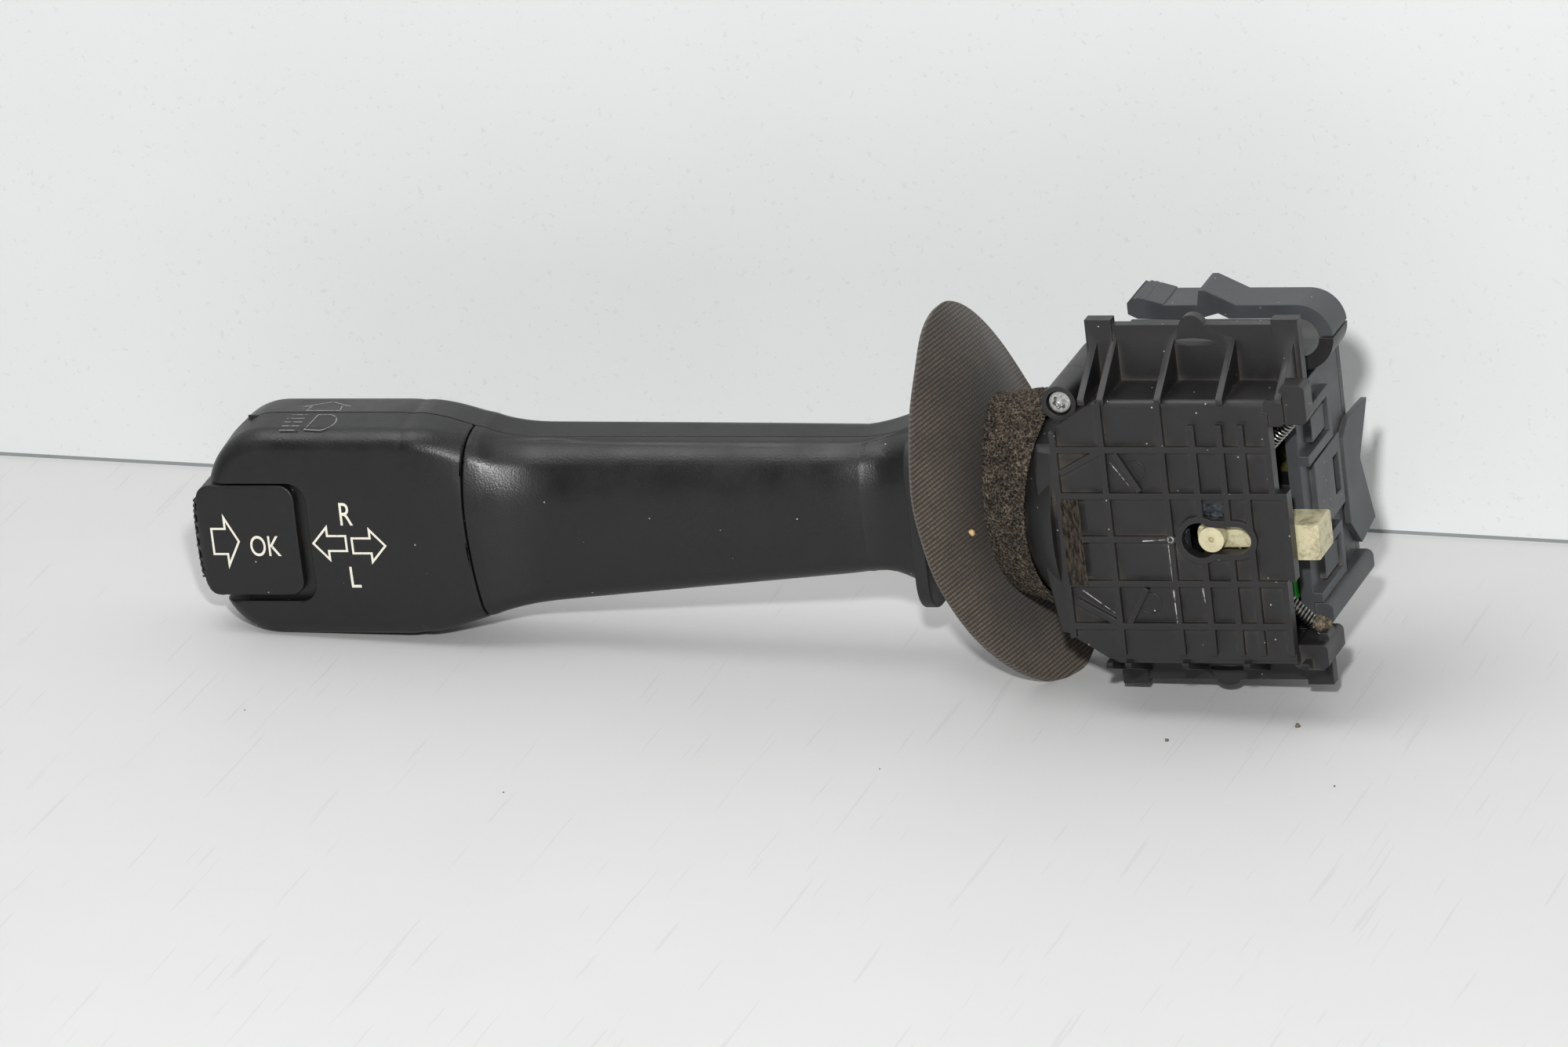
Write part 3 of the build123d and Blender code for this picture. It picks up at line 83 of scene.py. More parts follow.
# Places in millimetres from the pivot of the stalk: +X into the housing, -Y to the driver.
HEAD_FRONT_Y = -9.0
HEAD_TOP_Z = 13.75
PLATE_FLOOR_Y = -17.0
IN_LEVER = ("lever_core", "button_board", "button_switch")
LOWER_RAIL_ROOT = 22.7  # below this the lower guide rail stands free
LOWER_RAIL_CUT = 0.34  # share of its free length that isn't shown
FLUFF_AT = (31.6, -11.2, -17.6)  # dust caught behind the lower spring post
SEAL_CENTRE_X = -22.0
SEAL_HALF = (20.4, 31.9)
SEAL_THICK = 1.6
SEAL_HOLE = 5.2
SEAL_RIM_X = -24.1  # mean x of the rim
# How far the soft rim leaves a flat oval, as waves round it: (waves, cosine part, sine part).
SEAL_WAVES = ((1, 5.4, -7.9), (2, -1.4, -1.3), (3, 0.5, 0.3))
SEAL_SHIFT = (0.4, 1.0)  # the rim's middle, off the axis in Y and Z
# The cloth's ribs run straight when the seal is looked at from the driver's side and above.
CLOTH_ALONG = Vector((0.9468, 0.3027, -0.1118))
CLOTH_ACROSS = Vector((-0.0025, 0.3524, 0.9363))
SEAL_CURL = 2.4  # power with which the disc curls from its middle to the rim
FOAM_FRONT_HALF = (10.5, 16.4)  # foam ring where it meets the cloth
FOAM_BACK_HALF = (15.8, 18.4)  # and where it meets the nose
FOAM_BACK_RADIUS = 21.6
FOAM_RADIUS = 16.0  # mean radius, from which the number of faces follows
FOAM_LENGTH = 11.0  # from the cloth to the nose, for the number of faces
SEAL_SIDES = 160
TONGUE_DEPTHS = (0.45, 1.9)  # outer and inner edge of the tongue, below the lever's surface
TONGUE_THICK = 0.16
# Outline of the lever along x: as plain lines, and as the moulding's drawn-out curves run.
TOP_LINE = ((-124.0, 13.75), (-111.5, 10.3), (-46.0, 10.3), (-37.0, 12.5))
TOP_CURVE = ((-120.0, 13.75), (-106.0, 10.3), (-43.0, 10.3), (-36.0, 12.8))
BOTTOM_LINE = ((-124.0, -22.1), (-111.5, -18.2), (-46.0, -11.9), (-37.0, -14.1))
BOTTOM_CURVE = ((-122.5, -22.1), (-108.5, -17.9), (-43.0, -11.6), (-36.5, -14.4))
FRONT_LINE = ((-124.0, -9.0), (-111.5, -7.6), (-46.0, -6.4), (-37.0, -8.6))
FRONT_CURVE = (
    *((-118.0, -9.1), (-111.0, -8.7), (-103.5, -6.4), (-46.5, -6.4)),
    *((-42.0, -4.8), (-40.0, -4.8), (-37.0, -7.4)),
)
HEAD_TO_SHAFT = (-124.0, -108.0)  # where the head runs into the shaft
COLLAR_TO_CORE = (-37.0, -33.0)
# Planes that cut the lever into strips before it is drawn out: normal, first, step and count.
STRIPS = (("Z", -22.0, 2.0, 18), ("X", -129.0, 1.5, 62), ("Y", -8.0, 1.6, 8))
SEAM_OPEN = 0.15  # how much the long seam stands open, beyond the fit
SEAM_DIRT_AND_SHADE = "#12100d"  # black painted shade in the seams and corners of the lever, with some dirt
WAVE_PERIOD = 0.314159  # distance from wave to wave of a Wave texture at scale 1
STITCH_SPACING = 0.45  # along a rib of the cloth
CURVE_SPREAD = 3.5  # half length over which a corner of the outline is drawn out
BUTTON_END = (-160.9, -4.75, 9.65, 2.6)  # corner x, middle z, half height and corner radius
SCREW_AT = (-7.3, -12.5, 21.5)
FLOOR_CONTACTS = ((-140.0, 0.0, -22.4), (20.0, 0.0, -33.1))

# The camera: its right, up and back directions, and the point that it looks at.
CAMERA_RIGHT = Vector((0.9468, 0.3027, -0.1118))
CAMERA_UP = Vector((-0.0025, 0.3524, 0.9363))
CAMERA_BACK = Vector((0.3227, -0.8859, 0.3343))
CAMERA_TARGET = (-44.97, -45.19, 12.12)
CAMERA_DISTANCE = 2000.0
CAMERA_LENS = 288.0
SENSOR = 36.0
IMAGE_SIZE = (2000, 1335)
# Crumbs on the floor: image point and radius in millimetres.
FLOOR_CRUMBS = (
    *((1653, 926, 0.42), (1486, 944, 0.3), (1700, 1002, 0.16)),
    *((640, 1010, 0.14), (1120, 980, 0.12), (310, 905, 0.12)),
)
WALL_FOOT_PIXELS = ((0, 580), (2000, 692))  # where the floor meets the backdrop
SHEET_HALF = 1.6  # half width and depth of the floor and half width of the backdrop, in metres
WALL_HEIGHT = 1.2
KEY_SIZE = 0.05  # lamps, in metres
TOP_SIZE = 0.6
TOP_LAMP_FROM_TARGET = Vector((-0.25, -0.1, 0.8))


def at(x, y, z):
    """Point in the row frame, in metres, from millimetres measured from the pivot."""
    return Vector((x * MM, (y + AXIS_Y) * MM, z * MM))


def linear(code):
    """sRGB hex colour as linear RGBA."""
    parts = [int(code[i : i + 2], 16) / 255 for i in (1, 3, 5)]
    return tuple(c / 12.92 if c <= 0.04045 else ((c + 0.055) / 1.055) ** 2.4 for c in parts) + (1.0,)


def colour_property(name, description, code):
    return FloatVectorProperty(
        name=name, description=description, subtype="COLOR", size=4, min=0, max=1, default=linear(code)
    )


def length_property(name, description, value):
    return FloatProperty(
        name=name, description=description, unit="LENGTH", precision=5, min=0, default=value * MM
    )


def power_property(name, description, value):
    return FloatProperty(name=name, description=description, unit="POWER", default=value)


class StalkSettings(bpy.types.PropertyGroup):
    """Finishes of the lever's mouldings and marks"""

    cover_colour: colour_property("Cover colour", "Black ABS of the lever's covers", "#0f0f10")
    core_colour: colour_property("Inner colour", "Black nylon of the parts inside", "#141416")
    ink_colour: colour_property("Ink colour", "Printed function marks", "#e9e5d6")
    worn_ink_colour: colour_property("Worn ink colour", "Rubbed marks on the top of the head", "#8b8c8a")
    dust_colour: colour_property("Dust colour", "Dust that sits in seams and corners", "#7a7164")
    grain_size: length_property("Grain size", "Pit size of the spark-eroded surface", 0.32)
    edge_round: length_property("Edge round", "Rounding left on the moulded edges", 0.3)
    ink_stroke: length_property("Ink stroke", "Line width of the outlined arrows", 0.36)


class HousingSettings(bpy.types.PropertyGroup):
    """Finishes of the switch housing and its small parts"""

    plate_colour: colour_property("Cover plate colour", "Charcoal PBT of the ribbed cover", "#1a191a")
    # The end plate's own bluish charcoal, lightened as painted light for its brightly lit end and top
    # faces.
    end_colour_lit: colour_property("End plate colour", "Bluish charcoal of the end plate", "#3c3e41")
    cream_colour: colour_property("Cream colour", "Natural acetal of the peg and finger", "#cdc5a2")
    green_colour: colour_property("Green colour", "Acetal of the contact slider", "#1f8a2a")
    steel_colour: colour_property("Steel colour", "Drawn wire and zinc-plated screw", "#b9b7b2")
    edge_round: length_property("Edge round", "Rounding left on the moulded edges", 0.14)
    wire_thickness: length_property("Wire thickness", "Wire of the finger springs", 0.4)
    coil_pitch: length_property("Coil pitch", "Distance from coil to coil of the finger springs", 0.62)


class SealSettings(bpy.types.PropertyGroup):
    """Cloth disc and foam ring between lever and housing"""

    cloth_dark: colour_property("Cloth dark", "Clean cloth between the ribs", "#1d1b1a")
    cloth_dusty: colour_property("Cloth dusty", "Dusty crests of the ribs", "#675c4f")
    # Painted shade at the bottom of the foam's open cells.
    foam_cell_shade: colour_property("Foam dark", "Bottom of the foam's cells", "#0b0908")
    foam_light: colour_property("Foam light", "Dirty struts of the foam", "#685d4f")
    rib_spacing: length_property("Rib spacing", "From rib to rib of the cloth", 0.66)
    cell_size: length_property("Cell size", "Width of the foam's cells", 0.6)
    rings: IntProperty(
        name="Rings", description="Rings of faces in the cloth disc", default=44, min=8, max=80
    )


class StageSettings(bpy.types.PropertyGroup):
    """Floor, backdrop and lamps"""

    floor_colour: colour_property("Floor colour", "White sheet that the switch lies on", "#d2d2d1")
    wall_colour: colour_property("Backdrop colour", "White panel behind the switch", "#dfe1e0")
    key_power: power_property("Key power", "Small flash above the camera", 8.6)
    top_power: power_property("Top power", "Large soft lamp overhead", 3.2)
    ambient: FloatProperty(
        name="Ambient", description="Strength of the even light around", default=0.24, min=0
    )


SETTINGS = {
    "stalk_finish": StalkSettings,
    "housing_finish": HousingSettings,
    "seal_finish": SealSettings,
    "stage_finish": StageSettings,
}


LETTER_SHARE = 0.7  # height of a capital in a font of size 1
HOOK_SWEEP = math.radians(290)  # how far a spring's hook is bent round
WIRE_SIDES = 8
COIL_STEPS = 16  # faces along one turn of wire


# ---- Meshes -------------------------------------------------------------------------------


def outward(bm):
    """Turns the normals of all faces to the outside."""
    bmesh.ops.recalc_face_normals(bm, faces=bm.faces)


def close_holes(bm, sides):
    """Fills holes of up to so many sides."""
    bmesh.ops.holes_fill(bm, edges=[e for e in bm.edges if e.is_boundary], sides=sides)


def skin(bm, rows):
    """Joins rows of edges with faces and closes the last one."""
    for lower, upper in zip(rows, rows[1:]):
        bmesh.ops.bridge_loops(bm, edges=lower + upper)
    bmesh.ops.edgenet_fill(bm, edges=rows[-1])


def bent_edges(bm, degrees):
    """Edges between two faces that turn by more than the angle."""
    least = math.radians(degrees)
    return [e for e in bm.edges if len(e.link_faces) == 2 and e.calc_face_angle(0.0) > least]


def points_of(made):
    """The vertices in what a bmesh operator made."""
    return [item for item in made if isinstance(item, bmesh.types.BMVert)]


def extend(bm, edges):
    """Extrudes a row of edges and gives the new edges and points."""
    made = bmesh.ops.extrude_edge_only(bm, edges=edges)["geom"]
    return [item for item in made if isinstance(item, bmesh.types.BMEdge)], points_of(made)


def add_piece(name, bm, material, body=None, replaces=(), sharp=40.0):
    """Makes an object of a bmesh, shades it and ties it to its body."""
    for edge in bm.edges:
        edge.smooth = True
    for edge in bent_edges(bm, sharp):
        edge.smooth = False
    for face in bm.faces:
        face.smooth = True
    mesh = bpy.data.meshes.new(name)
    bm.to_mesh(mesh)
    bm.free()
    mesh.materials.append(material)
    piece = bpy.data.objects.new(name, mesh)
    bpy.context.scene.collection.objects.link(piece)
    if body:
        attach(piece, body)
    if replaces:
        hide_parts(*replaces)
    return piece


def merged_copy(node, plain=False):
    """The CAD node's triangles, welded and, unless plain, with their flat areas joined."""
    bm = bmesh.new()
    bm.from_mesh(frame["nodes"][node].data)
    bmesh.ops.remove_doubles(bm, verts=bm.verts, dist=0.004 * MM)
    bmesh.ops.dissolve_degenerate(bm, dist=0.002 * MM, edges=bm.edges)
    if plain:
        return bm
    bmesh.ops.dissolve_limit(bm, angle_limit=math.radians(0.6), verts=bm.verts, edges=bm.edges)
    return bm


def soften_edges(bm, width, angle=32.0, segments=2, keep=None):
    """Rounds every outside edge that turns by more than the angle, but those that keep() names."""
    sharp = [e for e in bent_edges(bm, angle) if e.is_convex and not (keep and keep(e))]
    bmesh.ops.bevel(
        bm, geom=sharp, offset=width, offset_type="OFFSET", affect="EDGES", segments=segments,
        profile=0.5, material=-1, clamp_overlap=False, loop_slide=True,
    )


def ease(value, start, end):
    """0 before start and 1 after end, with a soft run between."""
    share = min(1.0, max(0.0, (value - start) / (end - start)))
    return share * share * (3 - 2 * share)


def line_at(x, points):
    """Height of an outline of straight lines at x."""
    for (x0, height0), (x1, height1) in zip(points, points[1:]):
        if x <= x1:
            return height0 + (height1 - height0) * max(0.0, (x - x0) / (x1 - x0))
    return points[-1][1]


def curve_at(x, points):
    """Height of the same kind of outline with its corners drawn out."""
    return sum(line_at(x + CURVE_SPREAD * k / 3, points) for k in range(-3, 4)) / 7


def lever_place(co):
    """Where a point of the straight CAD form lies on the moulded lever."""
    x, y, z = co.x / MM, co.y / MM - AXIS_Y, co.z / MM
    head = 1 - ease(x, *HEAD_TO_SHAFT)
    keep = 1 - ease(x, *COLLAR_TO_CORE)  # the core beyond the collar stays straight
    upper, lower = ease(z, 0.0, 9.0), ease(-z, 4.0, 13.0)
    top, bottom = line_at(x, TOP_LINE), line_at(x, BOTTOM_LINE)
    middle, half = (top + bottom) / 2, (top - bottom) / 2
    # The top slopes from the seam down to the driver's side, and rises a little behind it.
    if y < 0:
        share = min(1.0, -y / 8.0)
        slope = head * 0.9 * (1 - share) - (1 - head) * 1.2 * share * share
    else:
        slope = 0.9 * (head + (1 - head) * min(1.0, y / 5.0))
    move_z = upper * (curve_at(x, TOP_CURVE) - top + slope) + lower * (curve_at(x, BOTTOM_CURVE) - bottom)
    if y < 0:
        away = min(1.0, -y / 5.0)
        share = min(1.0, max(-1.0, (z - middle) / half))
        if share > 0:
            curl = 2.4 + 1.1 * (1 - ease(x, -104.0, -88.0))
            fall = 1.1 * share**2 * head + (1 - head) * curl * max(0.0, (share - 0.15) / 0.85) ** 2
        else:
            fall = 0.9 * share**2
        y += keep * away * (curve_at(x, FRONT_CURVE) - line_at(x, FRONT_LINE) + fall)
    return at(x, y, z + keep * move_z)


def lever_copy(node):
    """The CAD form of a lever piece, cut into strips and drawn out to the moulded form."""
    bm = merged_copy(node)
    for axis, start, step, count in STRIPS:
        normal = Vector([float(axis == letter) for letter in "XYZ"])
        origin = Vector((0, AXIS_Y * MM, 0)) if axis == "Y" else Vector()
        for index in range(count):
            place = origin + normal * (start + step * index) * MM
            geom = list(bm.verts) + list(bm.edges) + list(bm.faces)
            bmesh.ops.bisect_plane(bm, geom=geom, dist=0.01 * MM, plane_co=place, plane_no=normal)
    if node == "tip_button":
        corner_x, middle, half, radius = BUTTON_END
        for vert in bm.verts:
            deep = abs(vert.co.z / MM - middle) - (half - radius)
            if deep > 0:
                edge = corner_x + radius - math.sqrt(max(0.0, radius**2 - deep**2))
                vert.co.x = max(vert.co.x, edge * MM)
    for vert in bm.verts:
        if node.endswith("front_cover") and -0.35 < vert.co.y / MM - AXIS_Y < 0:
            vert.co.y -= SEAM_OPEN * MM
        vert.co = lever_place(vert.co)
    return bm


def on_long_seam(edge):
    """Whether an edge runs along the seam over the lever's top and bottom."""
    return all(abs(v.co.y / MM - AXIS_Y) < 0.6 for v in edge.verts)


def moulding(name, node, material, width, lever=False):
    """A moulded part: the CAD form with the small edge rounds that a tool leaves."""
    bm = lever_copy(node) if lever else merged_copy(node, plain=not width)
    if width:
        soften_edges(bm, width, keep=on_long_seam if lever else None)
    body = frame["nodes"][node]["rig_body"]
    piece = add_piece(name, bm, material, body, [node], 65.0)
    flat = piece.modifiers.new("flat_faces", "WEIGHTED_NORMAL")
    flat.keep_sharp = True


def outline_mark(points, stroke, lift):
    """Closed outline of an even stroke, drawn in X and Y of the bmesh."""
    bm = bmesh.new()
    face = bm.faces.new([bm.verts.new((x * MM, y * MM, 0)) for x, y in points])
    bm.normal_update()
    bmesh.ops.inset_region(bm, faces=[face], thickness=stroke, use_even_offset=True, use_boundary=True)
    bmesh.ops.delete(bm, geom=[face], context="FACES_ONLY")
    thicken(bm, lift)
    return bm


def filled_mark(points, lift):
    """Closed shape filled with ink, drawn in X and Y of the bmesh."""
    bm = bmesh.new()
    bm.faces.new([bm.verts.new((x * MM, y * MM, 0)) for x, y in points])
    thicken(bm, lift)
    return bm


def thicken(bm, lift):
    """Gives a flat mark the height of its ink, towards local +Z."""
    outward(bm)
    for face in bm.faces:
        if face.normal.z < 0:
            face.normal_flip()
    raise_faces(bm, (0, 0, lift))


def raise_faces(bm, move):
    """Extrudes all faces by the move."""
    made = bmesh.ops.extrude_face_region(bm, geom=list(bm.faces))["geom"]
    bmesh.ops.translate(bm, verts=points_of(made), vec=move)
    outward(bm)


def text_mark(text, size, squeeze, lift):
    """Letters as a mesh, centred, drawn in X and Y."""
    curve = bpy.data.curves.new("letters", "FONT")
    curve.body = text
    curve.size = size * MM / LETTER_SHARE
    curve.align_x = "CENTER"
    curve.align_y = "CENTER"
    curve.resolution_u = 6
    holder = bpy.data.objects.new("letters", curve)
    bpy.context.scene.collection.objects.link(holder)
    bpy.context.view_layer.update()
    mesh = bpy.data.meshes.new_from_object(holder)
    bm = bmesh.new()
    bm.from_mesh(mesh)
    bpy.data.objects.remove(holder)
    bpy.data.curves.remove(curve)
    bpy.data.meshes.remove(mesh)
    bmesh.ops.scale(bm, vec=(squeeze, 1, 1), verts=bm.verts)
    bmesh.ops.remove_doubles(bm, verts=bm.verts, dist=0.002 * MM)
    thicken(bm, lift)
    return bm


def join_marks(marks):
    """Puts several placed bmeshes into one."""
    whole = bmesh.new()
    for bm, matrix in marks:
        bm.transform(matrix)
        holder = bpy.data.meshes.new("mark")
        bm.to_mesh(holder)
        bm.free()
        whole.from_mesh(holder)
        bpy.data.meshes.remove(holder)
    return whole


def front_place(x, z, y=HEAD_FRONT_Y):
    """Matrix that stands a mark on the driver's side of the lever."""
    return Matrix.Translation(at(x, y, z)) @ Matrix.Rotation(math.radians(90), 4, "X")


def top_place(x, y):
    """Matrix that lays a mark on the top of the head."""
    return Matrix.Translation(at(x, y, HEAD_TOP_Z))


def arrow_points(length, half_head, half_shaft, head_length):
    """Block arrow along +X about its middle."""
    tip, tail = length / 2, -length / 2
    neck = tip - head_length
    lower = [(tail, -half_shaft), (neck, -half_shaft), (neck, -half_head)]
    return lower + [(tip, 0)] + [(x, -y) for x, y in reversed(lower)]


def wire_circle(bm, wire, move):
    """Cross-section of a wire, standing on the local XZ plane."""
    ring = bmesh.ops.create_circle(bm, segments=WIRE_SIDES, radius=wire / 2, cap_ends=False)["verts"]
    upright = Matrix.Rotation(math.radians(90), 3, "X")
    bmesh.ops.rotate(bm, verts=ring, cent=(0, 0, 0), matrix=upright)
    bmesh.ops.translate(bm, verts=ring, vec=move)
    return ring


def wind(bm, geom, rise, angle, steps):
    """Sweeps an outline round the local Z axis, rising at each step."""
    bmesh.ops.spin(
        bm, geom=geom, cent=(0, 0, 0), axis=(0, 0, 1), dvec=(0, 0, rise), angle=angle, steps=steps,
        use_merge=False,
    )


def connected(points):
    """All vertices joined by edges to the given ones."""
    found = set()
    todo = list(points)
    while todo:
        vert = todo.pop()
        if vert in found:
            continue
        found.add(vert)
        todo.extend(e.other_vert(vert) for e in vert.link_edges)
    return list(found)


def coil(wire, radius, start, end, turns, hook=0.0):
    """Wire coil from start to end, with a hook of the given radius at each end."""
    axis = end - start
    length = axis.length
    bm = bmesh.new()
    wire_circle(bm, wire, (radius - wire / 2, 0, hook))
    count = int(turns * COIL_STEPS)
    whole = list(bm.verts) + list(bm.edges)
    wind(bm, whole, (length - 2 * hook) / count, turns * 2 * math.pi, count)
    upright = Matrix.Rotation(math.radians(90), 4, "X")
    for z, turn in ((hook * 0.2, math.pi), (length - hook * 0.2, 0)) if hook else ():
        ends = wire_circle(bm, wire, (hook, 0, 0))
        wind(bm, list(ends) + list({e for v in ends for e in v.link_edges}), 0, HOOK_SWEEP, 18)
        place = Matrix.Translation((0, 0, z)) @ upright @ Matrix.Rotation(turn, 4, "Z")
        bmesh.ops.transform(bm, verts=connected(ends), matrix=place)
    close_holes(bm, WIRE_SIDES)
    outward(bm)
    turn = Vector((0, 0, 1)).rotation_difference(axis.normalized()).to_matrix().to_4x4()
    bm.transform(Matrix.Translation(start) @ turn)
    return bm


# ---- Materials ----------------------------------------------------------------------------


def add_node(tree, kind, settings=None, inputs=None):
    """Adds a node with its settings; each input takes a value or the socket that feeds it."""
    node = tree.nodes.new(kind)
    for key, value in (settings or {}).items():
        setattr(node, key, value)
    for key, value in (inputs or {}).items():
        if isinstance(value, bpy.types.NodeSocket):
            tree.links.new(value, node.inputs[key])
        else:
            node.inputs[key].default_value = value
    return node


def new_material(name):
    """Material with its tree emptied, and its Object coordinates."""
    material = bpy.data.materials.new(name)
    material.use_nodes = True
    tree = material.node_tree
    tree.nodes.clear()
    coordinates = add_node(tree, "ShaderNodeTexCoord").outputs["Object"]
    return material, tree, coordinates


def finish_material(material, inputs, one_sided=False):
    """Adds the shader and the output; a one-sided sheet lets the view through from behind."""
    tree = material.node_tree
    surface = add_node(tree, "ShaderNodeBsdfPrincipled", None, inputs).outputs["BSDF"]
    if one_sided:
        behind = add_node(tree, "ShaderNodeNewGeometry").outputs["Backfacing"]
        clear = add_node(tree, "ShaderNodeBsdfTransparent").outputs["BSDF"]
        both = {0: behind, 1: surface, 2: clear}
        surface = add_node(tree, "ShaderNodeMixShader", None, both).outputs["Shader"]
    add_node(tree, "ShaderNodeOutputMaterial", None, {"Surface": surface})
    return material


def grey(value):
    return (value, value, value, 1.0)


def shade(colour, factor, lift=0.0):
    """The colour times a factor, lifted, and 1 at most."""
    return tuple(min(1.0, c * factor + lift) for c in colour[:3]) + (1.0,)


def ramp(tree, source, stops):
    """Colour ramp from (position, colour) stops."""
    node = add_node(tree, "ShaderNodeValToRGB", None, {"Fac": source})
    elements = node.color_ramp.elements
    for element, (position, colour) in zip(elements, stops):
        element.position = position
        element.color = colour
    for position, colour in stops[2:]:
        elements.new(position).color = colour
    return node.outputs["Color"]


def fade(tree, source, start, end):
    """Grey ramp between two (position, value) stops."""
    return ramp(tree, source, [(position, grey(value)) for position, value in (start, end)])


def spread(tree, source, start, end, low, high):
    """Turns start to end of the source into low to high."""
    inputs = {"Value": source, "From Min": start, "From Max": end, "To Min": low, "To Max": high}
    return add_node(tree, "ShaderNodeMapRange", None, inputs).outputs["Result"]


def calc(tree, operation, first, second, clamp=False):
    """One step of arithmetic."""
    settings = {"operation": operation, "use_clamp": clamp}
    return add_node(tree, "ShaderNodeMath", settings, {0: first, 1: second}).outputs[0]


def mix(tree, factor, first, second, blend="MIX"):
    """Mixes two colours."""
    settings = {"data_type": "RGBA", "blend_type": blend}
    inputs = {"Factor": factor, "A": first, "B": second}
    return add_node(tree, "ShaderNodeMix", settings, inputs).outputs["Result"]


def grains(tree, coordinates, size, detail=2.0, roughness=0.5):
    """Noise with grains of about the given size."""
    inputs = {"Vector": coordinates, "Scale": 1 / size, "Detail": detail, "Roughness": roughness}
    return add_node(tree, "ShaderNodeTexNoise", None, inputs).outputs["Fac"]


def mapped(tree, coordinates, rotation, scale=(1, 1, 1)):
    """The coordinates turned and scaled."""
    inputs = {"Vector": coordinates, "Rotation": rotation, "Scale": scale}
    return add_node(tree, "ShaderNodeMapping", None, inputs).outputs["Vector"]


def openness(tree, distance):
    """1 on open surfaces and less where others stand within the distance."""
    inputs = {"Distance": distance}
    return add_node(tree, "ShaderNodeAmbientOcclusion", {"samples": 6}, inputs).outputs["AO"]


def relief(tree, height, strength, distance, normal=None):
    """Normal of a surface with this height pattern."""
    inputs = {"Height": height, "Strength": strength, "Distance": distance}
    if normal:
        inputs["Normal"] = normal
    return add_node(tree, "ShaderNodeBump", None, inputs).outputs["Normal"]


def loose_specks(tree, coordinates, spacing, core, rim, strength, share, softness):
    """Specks in a share of the cells of a Voronoi texture; core and rim are parts of a cell."""
    cells = add_node(tree, "ShaderNodeTexVoronoi", None, {"Vector": coordinates, "Scale": 1 / spacing})
    near = fade(tree, cells.outputs["Distance"], (core, strength), (rim, 0))
    kept = add_node(tree, "ShaderNodeSeparateColor", None, {"Color": cells.outputs["Color"]}).outputs[0]
    kept = fade(tree, kept, (1 - share, 0), (min(1.0, 1 + softness - share), 1))
    return calc(tree, "MULTIPLY", near, kept)


def moulded_plastic(name, colour, grain, roughness, height, dirt, share, specks, wear, edge, seams):
    """Moulded thermoplastic: tool grain, corner dust and painted shade, specks, rubbed edges; in
    millimetres.
    """
    material, tree, coordinates = new_material(name)
    fine = grains(tree, coordinates, grain * MM)
    # Handling smears, a few millimetres wide.
    smear = grains(tree, coordinates, 9 * MM, 6.0, 0.6)
    tone = ramp(tree, smear, [(0.3, shade(colour, 0.82)), (0.75, shade(colour, 1.3))])
    # Closed-in places take the dirt colour: dust on the housing, painted shade with some dirt on the lever.
    tight, least = seams
    open_side = openness(tree, 1.6 * MM)
    closed = fade(tree, open_side, (tight, 1), (tight + 0.4, 0))
    patchy = fade(tree, smear, (0.42, least), (0.62, 1))
    corner = calc(tree, "MULTIPLY", calc(tree, "MULTIPLY", closed, patchy), share)
    # Loose specks about 0.15 mm across.
    speck = loose_specks(tree, coordinates, 1.5 * MM, 0.05, 0.11, 1, specks, 0.02)
    # Outside edges are a little round and rub paler in places.
    rounded = add_node(tree, "ShaderNodeBevel", {"samples": 4}, {"Radius": edge * MM}).outputs["Normal"]
    straight = add_node(tree, "ShaderNodeNewGeometry").outputs["Normal"]
    both = {0: rounded, 1: straight}
    agree = add_node(tree, "ShaderNodeVectorMath", {"operation": "DOT_PRODUCT"}, both).outputs["Value"]
    worn = fade(tree, agree, (0.82, wear), (0.985, 0))
    worn = calc(tree, "MULTIPLY", worn, fade(tree, open_side, (0.62, 0), (0.85, 1)))
    rubs = fade(tree, grains(tree, coordinates, 2.5 * MM, 4.0, 0.7), (0.38, 0.25), (0.66, 1))
    rubbed = mix(tree, calc(tree, "MULTIPLY", worn, rubs), tone, shade(colour, 3.2, 0.02))
    # Dust here, and on the lever painted shade with some dirt.
    dusty = mix(tree, corner, rubbed, dirt)
    inputs = {
        "IOR": 1.52,
        "Base Color": mix(tree, speck, dusty, linear("#b9b4a8")),
        "Roughness": spread(tree, smear, 0.3, 0.7, roughness - 0.07, roughness + 0.1),
        "Normal": relief(tree, fine, 0.5, height * MM, rounded),
    }
    return finish_material(material, inputs)


def acetal(name, colour, grime):
    """Unpigmented or dyed acetal: waxy, slightly translucent, grimy where handled, darker brown where
    closed in.
    """
    material, tree, coordinates = new_material(name)
    blotch = grains(tree, coordinates, 2.6 * MM, 8.0, 0.7)
    dirty = fade(tree, blotch, (0.46, 0), (0.66, grime))
    # Darker brown where the surface is closed in.
    closed = fade(tree, openness(tree, 1.2 * MM), (0.3, 0.7 * grime + 0.1), (0.7, 0))
    inputs = {
        "Roughness": 0.46,
        "IOR": 1.48,
        "Subsurface Weight": 0.12,
        "Subsurface Scale": 0.6 * MM,
        "Base Color": mix(tree, calc(tree, "MAXIMUM", dirty, closed), colour, linear("#5a4a33")),
        "Normal": relief(tree, blotch, 0.3, 0.03 * MM),
    }
    return finish_material(material, inputs)


def drawn_metal(name, colour, roughness, scratch):
    """Bare or plated metal with fine drawing marks and dull patches, and painted shade in its recesses."""
    material, tree, coordinates = new_material(name)
    marks = grains(tree, coordinates, scratch, 4.0)
    tone = ramp(tree, marks, [(0.35, shade(colour, 0.55)), (0.65, colour)])
    # Painted shade: the colour darkens nearly to black where the surface is closed in.
    open_side = fade(tree, openness(tree, 0.8 * MM), (0.25, 0.04), (0.7, 1))
    inputs = {
        "Metallic": 1.0,
        "Base Color": mix(tree, 1.0, tone, open_side, "MULTIPLY"),
        "Roughness": spread(tree, marks, 0.35, 0.65, roughness + 0.15, roughness),
        "Normal": relief(tree, marks, 0.25, 0.02 * MM),
    }
    return finish_material(material, inputs)


